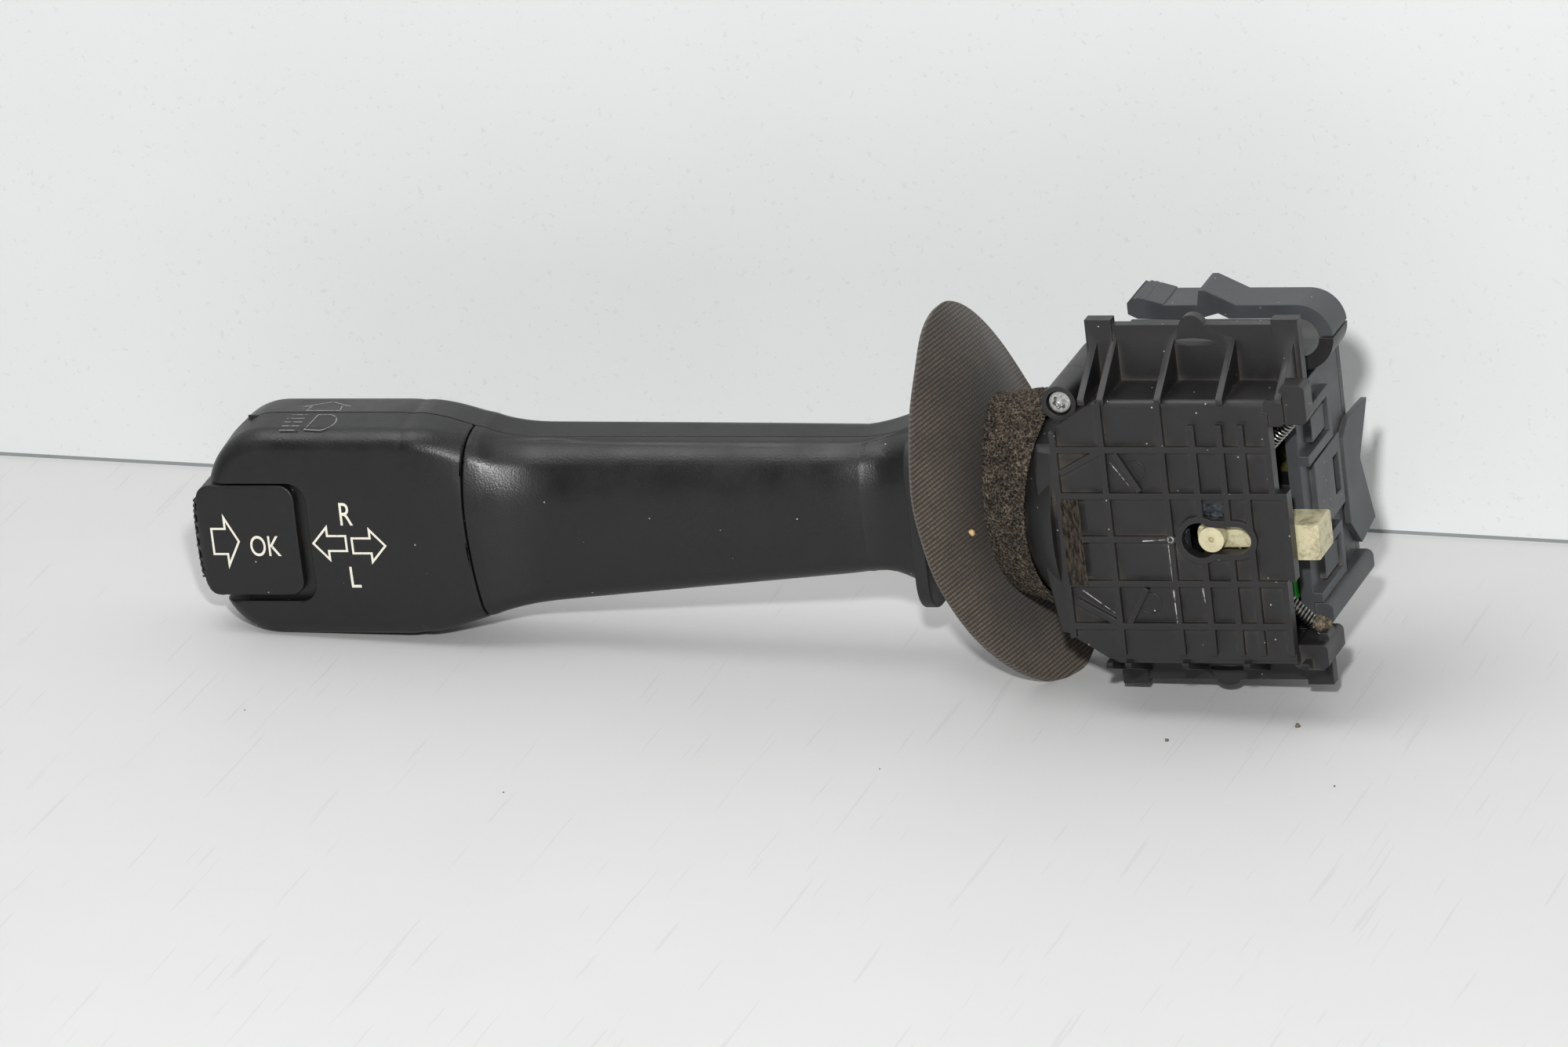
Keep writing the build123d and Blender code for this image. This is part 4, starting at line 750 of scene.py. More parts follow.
def printed_ink(name, colour, missing):
    """Pad-printed ink: flat, matt, missing in fine spots where it has rubbed."""
    material, tree, coordinates = new_material(name)
    worn = fade(tree, grains(tree, coordinates, 0.7 * MM, 6.0, 0.7), (missing, 1), (missing + 0.08, 0))
    mixed = mix(tree, worn, colour, linear("#2a2a2c"))
    return finish_material(material, {"Roughness": 0.6, "IOR": 1.5, "Base Color": mixed})


def waves(tree, coordinates, degrees, spacing, distortion, detail_scale=1.0):
    """Sine waves, spacing apart in the coordinates' own unit."""
    inputs = {
        "Vector": mapped(tree, coordinates, (0, 0, math.radians(degrees))),
        "Scale": WAVE_PERIOD / spacing,
        "Distortion": distortion,
        "Detail": 1.0,
        "Detail Scale": detail_scale,
    }
    return add_node(tree, "ShaderNodeTexWave", {"wave_profile": "SIN"}, inputs).outputs["Fac"]


def ribbed_cloth(settings):
    """Knitted polyester face on thin foam: slanting ribs like dotted lines, dusty on their crests."""
    material, tree, coordinates = new_material("ribbed_polyester_cloth")
    flat = add_node(tree, "ShaderNodeUVMap", {"uv_map": "cloth"}).outputs["UV"]
    ribs = waves(tree, flat, 52, settings.rib_spacing / MM, 0.35, 0.6)
    dots = calc(tree, "MULTIPLY", ribs, waves(tree, flat, -38, STITCH_SPACING, 0.5))
    both = {"Factor": 0.45, "A": ribs, "B": dots}
    weave = add_node(tree, "ShaderNodeMix", {"data_type": "FLOAT"}, both).outputs["Result"]
    lots = fade(tree, grains(tree, coordinates, 13 * MM, 5.0, 0.6), (0.3, 0.45), (0.7, 1.0))
    worn = add_node(tree, "ShaderNodeAttribute", {"attribute_name": "dust"}).outputs["Fac"]
    dust = calc(tree, "MULTIPLY", lots, worn)
    linty = spread(tree, grains(tree, coordinates, 0.5 * MM, 3.0, 0.7), 0.3, 0.7, 0.6, 1.25)
    share = calc(tree, "MULTIPLY", dust, spread(tree, weave, 0.05, 0.8, 0.2, 1.15))
    share = calc(tree, "MULTIPLY", share, linty, clamp=True)
    inputs = {
        "Roughness": 0.9,
        "Sheen Weight": 0.12,
        "Sheen Roughness": 0.5,
        "IOR": 1.45,
        "Base Color": mix(tree, share, tuple(settings.cloth_dark), tuple(settings.cloth_dusty)),
        "Normal": relief(tree, weave, 0.75, 0.16 * MM),
    }
    return finish_material(material, inputs)


def open_cell_foam(settings):
    """Reticulated polyurethane foam: dusty struts over open cells with painted shade in them."""
    material, tree, coordinates = new_material("open_cell_polyurethane_foam")
    strut = add_node(tree, "ShaderNodeAttribute", {"attribute_name": "strut"}).outputs["Fac"]
    amount = spread(tree, grains(tree, coordinates, 4 * MM, 6.0, 0.65), 0.3, 0.7, 0.45, 1.2)
    share = calc(tree, "MULTIPLY", strut, amount, clamp=True)
    # Cells about 0.4 mm across, open, with painted shade between their dusty struts.
    cells = add_node(tree, "ShaderNodeTexVoronoi", None, {"Vector": coordinates, "Scale": 1 / (0.42 * MM)})
    pit_shade = fade(tree, cells.outputs["Distance"], (0.25, 0.15), (0.62, 1.0))
    share = calc(tree, "MULTIPLY", share, pit_shade)
    base = mix(tree, share, tuple(settings.foam_cell_shade), tuple(settings.foam_light))
    grit = loose_specks(tree, coordinates, 1.3 * MM, 0.12, 0.2, 0.8, 0.2, 0.03)
    fuzz = relief(tree, grains(tree, coordinates, 0.25 * MM), 0.6, 0.08 * MM)
    inputs = {
        "Roughness": 0.95,
        "IOR": 1.4,
        "Base Color": mix(tree, grit, base, linear("#9c8b73")),
        "Normal": relief(tree, pit_shade, 0.9, 0.3 * MM, fuzz),
    }
    return finish_material(material, inputs)


def board_laminate():
    """Glass-epoxy board: brown-green, faint weave, satin varnish."""
    material, tree, coordinates = new_material("glass_epoxy_laminate")
    checks = {"Vector": coordinates, "Scale": 1 / (0.8 * MM)}
    weave = add_node(tree, "ShaderNodeTexChecker", None, checks).outputs["Fac"]
    tone = ramp(tree, weave, [(0.0, linear("#4b4a22")), (1.0, linear("#56532a"))])
    return finish_material(material, {"Roughness": 0.35, "IOR": 1.55, "Base Color": tone})


def packed_dirt(name, dark, light):
    """Road dust pressed into a recess: matt and streaky, pale where it has dried."""
    material, tree, coordinates = new_material(name)
    lean = mapped(tree, coordinates, (0, math.radians(35), 0), (1, 1, 0.25))
    streaks = grains(tree, lean, 0.5 * MM, 6.0, 0.75)
    inputs = {
        "Roughness": 0.9,
        "IOR": 1.45,
        "Specular IOR Level": 0.2,
        "Base Color": ramp(tree, streaks, [(0.42, linear(dark)), (0.64, linear(light))]),
        "Normal": relief(tree, streaks, 0.7, 0.1 * MM),
    }
    return finish_material(material, inputs)


def grease():
    """Silicone grease: clear, wet and bluish over the dark plastic."""
    material, tree, coordinates = new_material("silicone_grease")
    lumps = grains(tree, coordinates, 1.2 * MM, 3.0)
    inputs = {
        "Roughness": 0.12,
        "IOR": 1.45,
        "Base Color": ramp(tree, lumps, [(0.42, linear("#15171a")), (0.7, linear("#434b53"))]),
        "Normal": relief(tree, lumps, 0.8, 0.25 * MM),
    }
    return finish_material(material, inputs)


MATERIALS = {}


def finish(name, scene):
    """The named material, made on first use from the scene's settings."""
    if name in MATERIALS:
        return MATERIALS[name]
    lever, body = scene.stalk_finish, scene.housing_finish
    dust = tuple(lever.dust_colour)
    # Plastics: title, colour, grain, roughness, height, dirt colour (on the lever black painted shade
    # with some dirt), its share, specks, wear, edge radius and seams: how closed a corner is when that
    # colour fills it, and the least of it that the corner holds.
    thin, loose = (0.35, 0.15), (0.5, 0.8)
    cover, inner = tuple(lever.cover_colour), tuple(lever.core_colour)
    plate, end = tuple(body.plate_colour), tuple(body.end_colour_lit)
    black = linear(SEAM_DIRT_AND_SHADE)
    pits = lever.grain_size / MM
    plastics = {
        "stalk": ("black_abs_spark_grain", cover, pits, 0.385, 0.075, black, 0.9, 0.05, 0.12, 0.2, loose),
        "plate": ("charcoal_pbt_moulded", plate, 0.5, 0.44, 0.025, dust, 0.35, 0.2, 0.7, 0.16, thin),
        "end": ("bluish_pbt_painted_light", end, 0.45, 0.5, 0.03, dust, 0.5, 0.16, 0.5, 0.12, thin),
        "inner": ("black_nylon_moulded", inner, 0.6, 0.5, 0.02, dust, 0.2, 0.02, 0.2, 0.1, thin),
    }
    if name in plastics:
        made = moulded_plastic(*plastics[name])
    else:
        cream, steel = tuple(body.cream_colour), tuple(body.steel_colour)
        makers = {
            "cream": lambda: acetal("natural_acetal_moulded", cream, 0.75),
            "cream_clean": lambda: acetal("natural_acetal_clean", cream, 0.3),
            "green": lambda: acetal("green_acetal_moulded", tuple(body.green_colour), 0.2),
            "wire": lambda: drawn_metal("spring_steel_wire", steel, 0.28, 0.5 * MM),
            "zinc": lambda: drawn_metal("zinc_plated_steel", linear("#d6d6d4"), 0.3, 0.35 * MM),
            "brass": lambda: drawn_metal("tinned_brass_stamped", linear("#c9b27a"), 0.3, 0.4 * MM),
            "ink": lambda: printed_ink("pad_printed_ink", tuple(lever.ink_colour), 0.3),
            "worn_ink": lambda: printed_ink("rubbed_pad_printed_ink", tuple(lever.worn_ink_colour), 0.4),
            "cloth": lambda: ribbed_cloth(scene.seal_finish),
            "foam": lambda: open_cell_foam(scene.seal_finish),
            "board": board_laminate,
            "grease": grease,
            "grime": lambda: packed_dirt("packed_street_dirt", "#121110", "#4b4338"),
            "fluff": lambda: packed_dirt("matted_dust", "#3a342b", "#8a7f6c"),
            "scuff": lambda: printed_ink("whitened_plastic", linear("#a3a29d"), 0.44),
        }
        made = makers[name]()
    MATERIALS[name] = made
    return made


# ---- Pieces -------------------------------------------------------------------------------


class STALK_OT_covers(bpy.types.Operator):
    """Shells and covers of the lever, with their moulded edges"""

    bl_idname = "stalk.covers"
    bl_label = "Lever Covers"

    def execute(self, context):
        width = context.scene.stalk_finish.edge_round
        plastic = finish("stalk", context.scene)
        for name, node in (
            ("lever_rear_shell", "rear_shell"),
            ("lever_head_cover", "head_front_cover"),
            ("lever_shaft_cover", "shaft_front_cover"),
            ("lever_tip_button", "tip_button"),
        ):
            moulding(name, node, plastic, width, lever=True)
        moulding("lever_collar", "collar_flange", finish("inner", context.scene), width)
        # A tongue stands in the long seam, just under the surface, so that nothing shows through it.
        bm = bmesh.new()
        for outline, inward, lift in ((TOP_CURVE, -1.0, 0.9), (BOTTOM_CURVE, 1.0, 0.0)):
            rows = []
            for index in range(59):
                x = -153.0 + 2.0 * index
                rise = lift * (1 - ease(x, *HEAD_TO_SHAFT))
                surface = curve_at(x, outline) + rise
                rows.append([bm.verts.new(at(x, -0.02, surface + inward * deep)) for deep in TONGUE_DEPTHS])
            for (a, b), (c, d) in zip(rows, rows[1:]):
                bm.faces.new((a, b, d, c))
        raise_faces(bm, (0, -(TONGUE_THICK + SEAM_OPEN) * MM, 0))
        add_piece("lever_seam_tongue", bm, finish("inner", context.scene), "stalk")
        return {"FINISHED"}


def print_marks(piece, marks):
    """Lays placed marks on the lever as one piece of the given name, ink and body."""
    name, ink, body = piece
    bm = join_marks(marks)
    for vert in bm.verts:
        vert.co = lever_place(vert.co)
    add_piece(name, bm, ink, body)


class STALK_OT_marks(bpy.types.Operator):
    """Printed function marks on the head and the button"""

    bl_idname = "stalk.marks"
    bl_label = "Function Marks"

    def execute(self, context):
        scene = context.scene
        stroke = scene.stalk_finish.ink_stroke
        lift = 0.03 * MM
        arrow = arrow_points(6.2, 3.3, 1.5, 3.0)
        backwards = [(-x, y) for x, y in reversed(arrow)]
        print_marks(
            ("head_marks", finish("ink", scene), "stalk"),
            [
                (outline_mark(backwards, stroke, lift), front_place(-138.0, -5.1)),
                (outline_mark(arrow, stroke, lift), front_place(-131.1, -5.5)),
                (text_mark("R", 4.0, 0.72, lift), front_place(-134.7, -0.2)),
                (text_mark("L", 3.8, 0.78, lift), front_place(-134.4, -11.3)),
            ],
        )
        print_marks(
            ("button_marks", finish("ink", scene), "button"),
            [
                (outline_mark(arrow_points(5.0, 4.9, 2.4, 2.6), stroke, lift), front_place(-156.3, -4.8)),
                (text_mark("OK", 3.6, 0.72, lift), front_place(-149.5, -5.8)),
            ],
        )
        thin = 0.2 * MM
        bow = [math.pi * k / 10 for k in range(1, 10)]
        lamp = [(-1.9, -3.0), (-1.2, 3.2)]
        lamp += [(0.4 + 2.5 * math.sin(angle), 3.4 * math.cos(angle)) for angle in bow]
        marks = [(outline_mark(lamp, thin, lift), top_place(-139.2, -4.3))]
        bar = [(-3.1, -0.11), (0, -0.11), (0, 0.11), (-3.1, 0.11)]
        for index in range(5):
            marks.append((filled_mark(bar, lift), top_place(-142.3, -1.2 - index * 1.55)))
        print_marks(("lamp_mark", finish("worn_ink", scene), "stalk"), marks)
        push = [(-3.2, -2.0), (3.0, -2.0), (2.6, 0.0), (4.4, 0.0), (0.2, 2.3), (-4.4, 0.0), (-2.9, 0.0)]
        marks = [(outline_mark(push, thin, lift), top_place(-139.9, 2.6))]
        print_marks(("push_arrow_mark", finish("worn_ink", scene), "stalk"), marks)
        return {"FINISHED"}


class STALK_OT_inner_parts(bpy.types.Operator):
    """Core, swivel, detent and contacts inside lever and housing"""

    bl_idname = "stalk.inner_parts"
    bl_label = "Inner Parts"

    def execute(self, context):
        scene = context.scene
        soft = 0.1 * MM
        for node, name, slot in (
            ("lever_core", "inner", "inner_plastic"),
            ("swivel_yoke", "inner", "inner_plastic"),
            ("turn_detent_cam", "inner", "inner_plastic"),
            ("contact_slider", "green", "green_plastic"),
            ("button_board", "board", "circuit_board"),
            ("contact_board", "board", "circuit_board"),
            ("button_switch", "inner", "inner_plastic"),
            ("beam_pivot_pin", "zinc", "spring_steel"),
            ("turn_detent_plunger", "zinc", "spring_steel"),
            ("wiper_contacts", "brass", "contact_brass"),
            ("terminal_pins", "brass", "contact_brass"),
        ):
            moulding(node + "_finished", node, finish(name, scene), soft, lever=node in IN_LEVER)
        return {"FINISHED"}


def on_housing(name, bm, look, sharp=40.0):
    """Adds a piece that belongs to the housing's plastic and stands for no node."""
    add_piece(name, bm, finish(look, bpy.context.scene), "housing", sharp=sharp)


class STALK_OT_housing(bpy.types.Operator):
    """Housing, ribbed cover, end plate and leaf"""

    bl_idname = "stalk.housing"
    bl_label = "Switch Housing"

    def execute(self, context):
        scene = context.scene
        width = scene.housing_finish.edge_round
        for name, node, look in (
            ("housing_box", "housing_base", "plate"),
            ("ribbed_cover", "cover_plate", "plate"),
            ("end_plate_moulding", "end_plate", "end"),
            ("leaf_moulding", "retaining_leaf", "end"),
            ("latch_arm_moulding", "latch_arm", "end"),
        ):
            crisp = look == "plate"
            moulding(name, node, finish(look, scene), 0.0 if crisp else width)
        # The lower guide rail reaches out less than the upper one.
        cover = bpy.data.objects["ribbed_cover"].data
        for vert in cover.vertices:
            beyond = -LOWER_RAIL_ROOT * MM - vert.co.z
            if beyond > 0:
                vert.co.z += beyond * LOWER_RAIL_CUT
        # Side of the nose: front edge and back edge at four heights.
        cheek = bmesh.new()
        rows = ((-17.4, -10.6, -11.9), (-6.0, -12.3, -13.9), (9.0, -12.3, -13.9), (13.7, -11.6, -12.9))
        loops = []
        for z, front_x, back_x in rows:
            corners = [(-8.7, -16.9), (front_x, -16.0), (back_x, -12.2), (-8.7, -12.2)]
            ring = [cheek.verts.new(at(x, y, z)) for x, y in corners]
            loops.append([cheek.edges.new(pair) for pair in zip(ring, ring[1:] + ring[:1])])
        bmesh.ops.edgenet_fill(cheek, edges=loops[0])
        skin(cheek, loops)
        outward(cheek)
        soften_edges(cheek, 0.3 * MM)
        on_housing("nose_cheek", cheek, "plate")
        grime = filled_mark([(-1.6, -7.4), (1.6, -7.4), (1.4, 7.3), (-1.8, 7.3)], 0.04 * MM)
        grime.transform(front_place(-6.2, -1.1, -18.0))
        on_housing("margin_dirt", grime, "grime")
        scuffs = []
        # Scuffs on the ribs: from, to, width and depth.
        for start, end, wide, y in (
            ((5.3, -0.9), (9.2, -0.65), 0.24, -18.0),
            ((9.55, -1.3), (9.6, -7.8), 0.14, -18.0),
            ((9.6, -9.2), (9.7, -15.0), 0.3, -18.0),
            ((-5.6, -9.4), (-0.6, -13.3), 0.22, -18.0),
            ((14.2, -9.3), (14.4, -11.8), 0.32, -17.0),
            ((1.2, 12.6), (4.0, 8.6), 0.2, -18.0),
        ):
            run = Vector((end[0] - start[0], end[1] - start[1]))
            side = Vector((-run.y, run.x)).normalized() * wide / 2
            start, end, tail = Vector(start), Vector(end), side * 0.3
            ends = [tuple(corner) for corner in (start - side, start + side, end + tail, end - tail)]
            scuffs.append((filled_mark(ends, 0.03 * MM), front_place(0, 0, y)))
        on_housing("rib_scuffs", join_marks(scuffs), "scuff")
        gouge = bmesh.new()
        rim = {"radius1": 0.62 * MM, "radius2": 0.5 * MM, "depth": 0.16 * MM}
        bmesh.ops.create_cone(gouge, cap_ends=False, segments=18, **rim)
        edges = [e for e in gouge.edges if all(v.co.z > 0 for v in e.verts)]
        for vert in extend(gouge, edges)[1]:
            vert.co = Vector((vert.co.x * 0.55, vert.co.y * 0.55, -0.08 * MM))
        close_holes(gouge, 18)
        outward(gouge)
        gouge.transform(front_place(10.0, -0.7, -18.06))
        on_housing("rib_gouge", gouge, "scuff")
        fluff = bmesh.new()
        bmesh.ops.create_icosphere(fluff, subdivisions=4, radius=1.0 * MM)
        for vert in fluff.verts:
            rough = 1 + 0.6 * noise.noise(vert.co / (0.4 * MM)) + 0.3 * noise.noise(vert.co / (0.15 * MM))
            vert.co = Vector((vert.co.x * 1.5, vert.co.y * 1.1, vert.co.z * 1.2)) * rough
        fluff.transform(Matrix.Translation(at(*FLUFF_AT)))
        on_housing("dust_clump", fluff, "fluff", 180)
        for name, x, z in (("ejector_ring_upper", 4.9, 10.6), ("ejector_ring_lower", 5.2, -12.0)):
            bm = bmesh.new()
            bmesh.ops.create_circle(bm, segments=40, radius=1.9 * MM, cap_ends=True)
            bm.normal_update()
            bmesh.ops.inset_region(bm, faces=list(bm.faces), thickness=0.3 * MM, use_boundary=True)
            inner = [f for f in bm.faces if len(f.verts) > 4]
            bmesh.ops.delete(bm, geom=inner, context="FACES_ONLY")
            thicken(bm, 0.12 * MM)
            soften_edges(bm, 0.04 * MM, segments=1)
            bm.transform(front_place(x, z, PLATE_FLOOR_Y))
            on_housing(name, bm, "plate")
        return {"FINISHED"}


class STALK_OT_finger(bpy.types.Operator):
    """Cream peg and cancelling finger"""

    bl_idname = "stalk.finger"
    bl_label = "Cancelling Finger"

    def execute(self, context):
        scene = context.scene
        for node, look, width in (("finger_peg", "cream_clean", 0.12), ("cancel_finger", "cream", 0.16)):
            moulding(node + "_moulding", node, finish(look, scene), width * MM)
        return {"FINISHED"}


class STALK_OT_springs(bpy.types.Operator):
    """Wound springs of the finger, the button and the detent"""

    bl_idname = "stalk.springs"
    bl_label = "Springs"

    def execute(self, context):
        scene = context.scene
        settings = scene.housing_finish
        steel = finish("wire", scene)
        for side, node in ((1, "finger_spring_upper"), (-1, "finger_spring_lower")):
            low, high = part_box(node)
            radius = 1.15 * MM
            mid_y = (low.y + high.y) / 2
            ends = (low.z, high.z) if side > 0 else (high.z, low.z)
            start = Vector((low.x + 0.9 * MM, mid_y, ends[0] + side * 0.8 * MM))
            end = Vector((high.x - 0.9 * MM, mid_y, ends[1] - side * 0.8 * MM))
            turns = round(((end - start).length - 2.0 * MM) / settings.coil_pitch)
            bm = coil(settings.wire_thickness, radius, start, end, turns, hook=0.8 * MM)
            piece = add_piece(node + "_coil", bm, steel, None, [node])
            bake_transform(piece)
        for node, bodies, turns, thick in (
            ("button_return_spring", ("stalk", "button"), 8, 0.45 * MM),
            ("turn_detent_spring", ("swivel", "detent_plunger"), 5, 0.25 * MM),
        ):
            low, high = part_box(node)
            radius = (high.z - low.z) / 2
            mid = (low + high) / 2
            still, moving = (high.x, low.x) if bodies[0] == "stalk" else (low.x, high.x)
            start, end = Vector((still, mid.y, mid.z)), Vector((moving, mid.y, mid.z))
            bm = coil(thick, radius, start, end, turns)
            piece = add_piece(node + "_coil", bm, steel, None, [node])
            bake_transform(piece)
        return {"FINISHED"}


class STALK_OT_cover_screw(bpy.types.Operator):
    """Pan-head screw with a six-lobe recess and its thread"""

    bl_idname = "stalk.cover_screw"
    bl_label = "Cover Screw"

    def execute(self, context):
        bm = bmesh.new()
        sides = 48

        def loop(radius, height, lobes=0.0):
            """Ring of edges, drawn out into six lobes."""
            made = bmesh.ops.create_circle(bm, segments=sides, radius=radius * MM, cap_ends=False)["verts"]
            for vert in made:
                angle = math.atan2(vert.co.y, vert.co.x)
                grow = 1 + lobes * math.cos(6 * angle)
                vert.co = Vector((vert.co.x * grow, vert.co.y * grow, height * MM))
            return list({e for v in made for e in v.link_edges})

        # Outline of the head, then of its recess: radius, height and depth of the lobes.
        head = ((1.1, 0.0), (1.96, 0.0), (2.0, 0.12), (2.0, 1.45), (1.95, 1.72), (1.8, 1.86), (1.5, 1.92))
        recess = ((1.08, 1.93, 0.14), (1.02, 1.85, 0.16), (0.96, 0.75, 0.16), (0.5, 0.6))
        rows = [loop(*row) for row in head + recess]
        skin(bm, rows)
        outward(bm)
        core = {"radius1": 0.8 * MM, "radius2": 0.8 * MM, "depth": 11.8 * MM}
        shank = bmesh.ops.create_cone(bm, cap_ends=True, segments=24, **core)["verts"]
        bmesh.ops.translate(bm, verts=shank, vec=(0, 0, -5.85 * MM))
        # The thread's ridge, wound round the shank.
        profile = ((0.75, -11.2), (1.08, -11.45), (0.75, -11.7))
        ridge = [bm.verts.new((r * MM, 0, z * MM)) for r, z in profile]
        edges = [bm.edges.new(pair) for pair in zip(ridge, ridge[1:] + ridge[:1])]
        turns, steps = 12, 20 * 12
        wind(bm, ridge + edges, 10.6 * MM / steps, turns * 2 * math.pi, steps)
        close_holes(bm, 3)
        outward(bm)
        bm.transform(Matrix.Rotation(math.radians(12), 4, "Z"))
        bm.transform(front_place(SCREW_AT[0], SCREW_AT[2], SCREW_AT[1]))
        zinc = finish("zinc", context.scene)
        add_piece("six_lobe_screw", bm, zinc, "housing", ["cover_screw"], 30)
        return {"FINISHED"}


def seal_point(share, turn):
    """Place on the housing side of the cloth: share of the way to the rim, and angle round it."""
    rim_x = SEAL_RIM_X + sum(c * math.cos(n * turn) + s * math.sin(n * turn) for n, c, s in SEAL_WAVES)
    reach = [SEAL_HOLE + (half - SEAL_HOLE) * share for half in SEAL_HALF]
    return at(
        SEAL_CENTRE_X + (rim_x - SEAL_CENTRE_X) * share**SEAL_CURL,
        reach[0] * math.cos(turn) + SEAL_SHIFT[0] * share,
        reach[1] * math.sin(turn) + SEAL_SHIFT[1] * share,
    )


class STALK_OT_seal(bpy.types.Operator):
    """Dished oval of ribbed cloth on foam, open for the lever's neck"""

    bl_idname = "stalk.seal"
    bl_label = "Cloth Seal"

    def execute(self, context):
        settings = context.scene.seal_finish
        bm = bmesh.new()
        turn = bm.verts.layers.float.new("turn")
        dust = bm.verts.layers.float.new("dust")
        bmesh.ops.create_circle(bm, segments=SEAL_SIDES, radius=SEAL_HOLE * MM, cap_ends=False)
        for vert in bm.verts:
            vert[turn] = math.atan2(vert.co.y, vert.co.x)
            vert[dust] = 0.25
            vert.co = seal_point(0.0, vert[turn])
        edges = list(bm.edges)
        for ring in range(1, settings.rings + 1):
            edges, points = extend(bm, edges)
            share = ring / settings.rings
            for vert in points:
                place = seal_point(share, vert[turn])
                sag = noise.noise(place / (11 * MM)) * 0.4 * MM * share
                vert.co = place + Vector((sag, 0, 0))
                y, z = vert.co.y / MM - AXIS_Y, vert.co.z / MM
                # Clean beside the foam ring, dusty towards the rim and low down.
                clear = math.hypot(y / FOAM_FRONT_HALF[0], z / FOAM_FRONT_HALF[1])
                vert[dust] = 0.2 + 0.62 * ease(clear, 1.05, 1.8) + 0.42 * ease(-z, -6.0, 14.0)
        flat = bm.loops.layers.uv.new("cloth")
        for face in bm.faces:
            for corner in face.loops:
                place = corner.vert.co / MM
                corner[flat].uv = (place.dot(CLOTH_ALONG), place.dot(CLOTH_ACROSS))
        outward(bm)
        if next(iter(bm.faces)).normal.x < 0:
            bmesh.ops.reverse_faces(bm, faces=bm.faces)
        bmesh.ops.solidify(bm, geom=list(bm.faces), thickness=SEAL_THICK * MM)
        outward(bm)
        soften_edges(bm, 0.25 * MM, 50, 3)
        cloth = finish("cloth", context.scene)
        piece = add_piece("cloth_seal", bm, cloth, "stalk", ["seal_disc"], 60)
        crumb = bmesh.new()
        bmesh.ops.create_icosphere(crumb, subdivisions=2, radius=0.55 * MM)
        for vert in crumb.verts:
            vert.co *= 1 + 0.45 * noise.noise(vert.co / (0.45 * MM))
        crumb.transform(Matrix.Translation(seal_point(0.62, math.radians(184)) + Vector((0.3 * MM, 0, 0))))
        grit = acetal("sand_grain", linear("#c9a878"), 0.3)
        add_piece("seal_grit", crumb, grit, "stalk", sharp=180)
        return {"FINISHED"}


class STALK_OT_foam_ring(bpy.types.Operator):
    """Coarse foam ring between the cloth seal and the housing's nose"""

    bl_idname = "stalk.foam_ring"
    bl_label = "Foam Ring"

    def execute(self, context):
        settings = context.scene.seal_finish
        grid = 0.16 * MM
        bm = bmesh.new()
        turn = bm.verts.layers.float.new("turn")
        strut = bm.verts.layers.float.new("strut")
        around = int(2 * math.pi * FOAM_RADIUS * MM / grid)
        bmesh.ops.create_circle(bm, segments=around, radius=FOAM_RADIUS * MM, cap_ends=False)
        for vert in bm.verts:
            vert[turn] = math.atan2(vert.co.y, vert.co.x)
        edges = list(bm.edges)

        def ring_place(row, angle):
            """Row 0 lies in the cloth, row 1 on the nose; rows up to 2 run back inside."""
            out = min(row, 1.0)
            half = [a + (b - a) * out for a, b in zip(FOAM_FRONT_HALF, FOAM_BACK_HALF)]
            inner = max(0.0, row - 1.0)
            y = half[0] * math.cos(angle) * (1 - 0.5 * inner)
            z = (half[1] * math.sin(angle) + 1.2 * (1 - out)) * (1 - 0.5 * inner)
            on_nose = at(-math.sqrt(FOAM_BACK_RADIUS**2 - y * y - z * z), y, z)
            if row >= 1:
                return on_nose
            share = max(0.0, math.hypot(y / SEAL_HALF[0], z / SEAL_HALF[1]) - 0.2) / 0.8
            on_cloth = seal_point(share, math.atan2(z / SEAL_HALF[1], y / SEAL_HALF[0])).x - 0.8 * MM
            place = at(0, y, z)
            place.x = on_cloth + (on_nose.x - on_cloth) * out
            return place

        length = FOAM_LENGTH * MM
        rows = [k * grid / length for k in range(1, int(length / grid) + 1)] + [1.25, 1.5, 1.75, 2.0]
        for vert in bm.verts:
            vert.co = ring_place(0.0, vert[turn])
        for row in rows:
            edges, points = extend(bm, edges)
            for vert in points:
                vert.co = ring_place(row, vert[turn])
        bmesh.ops.bridge_loops(bm, edges=[e for e in bm.edges if e.is_boundary])
        outward(bm)
        bm.normal_update()
        size = settings.cell_size
        moves = []
        for vert in bm.verts:
            nearest = noise.voronoi(vert.co / size, distance_metric="DISTANCE", exponent=2.5)[0]
            # 0 on the struts between two cells and 1 inside a cell.
            wall = min(1.0, (nearest[1] - nearest[0]) / 0.5)
            rough = noise.noise(vert.co / (0.3 * MM)) + 0.8 * noise.noise(vert.co / (1.6 * MM))
            # Low inside a cell, where the foam's colour turns to painted shade.
            vert[strut] = max(0.0, min(1.0, 1.0 - wall + 0.4 * rough))
            moves.append(vert.normal * (-0.55 * MM * wall + 0.12 * MM * rough))
        for vert, move in zip(bm.verts, moves):
            vert.co += move
        foam = finish("foam", context.scene)
        piece = add_piece("foam_ring", bm, foam, "stalk", ["seal_foam_ring"], 180)
        return {"FINISHED"}


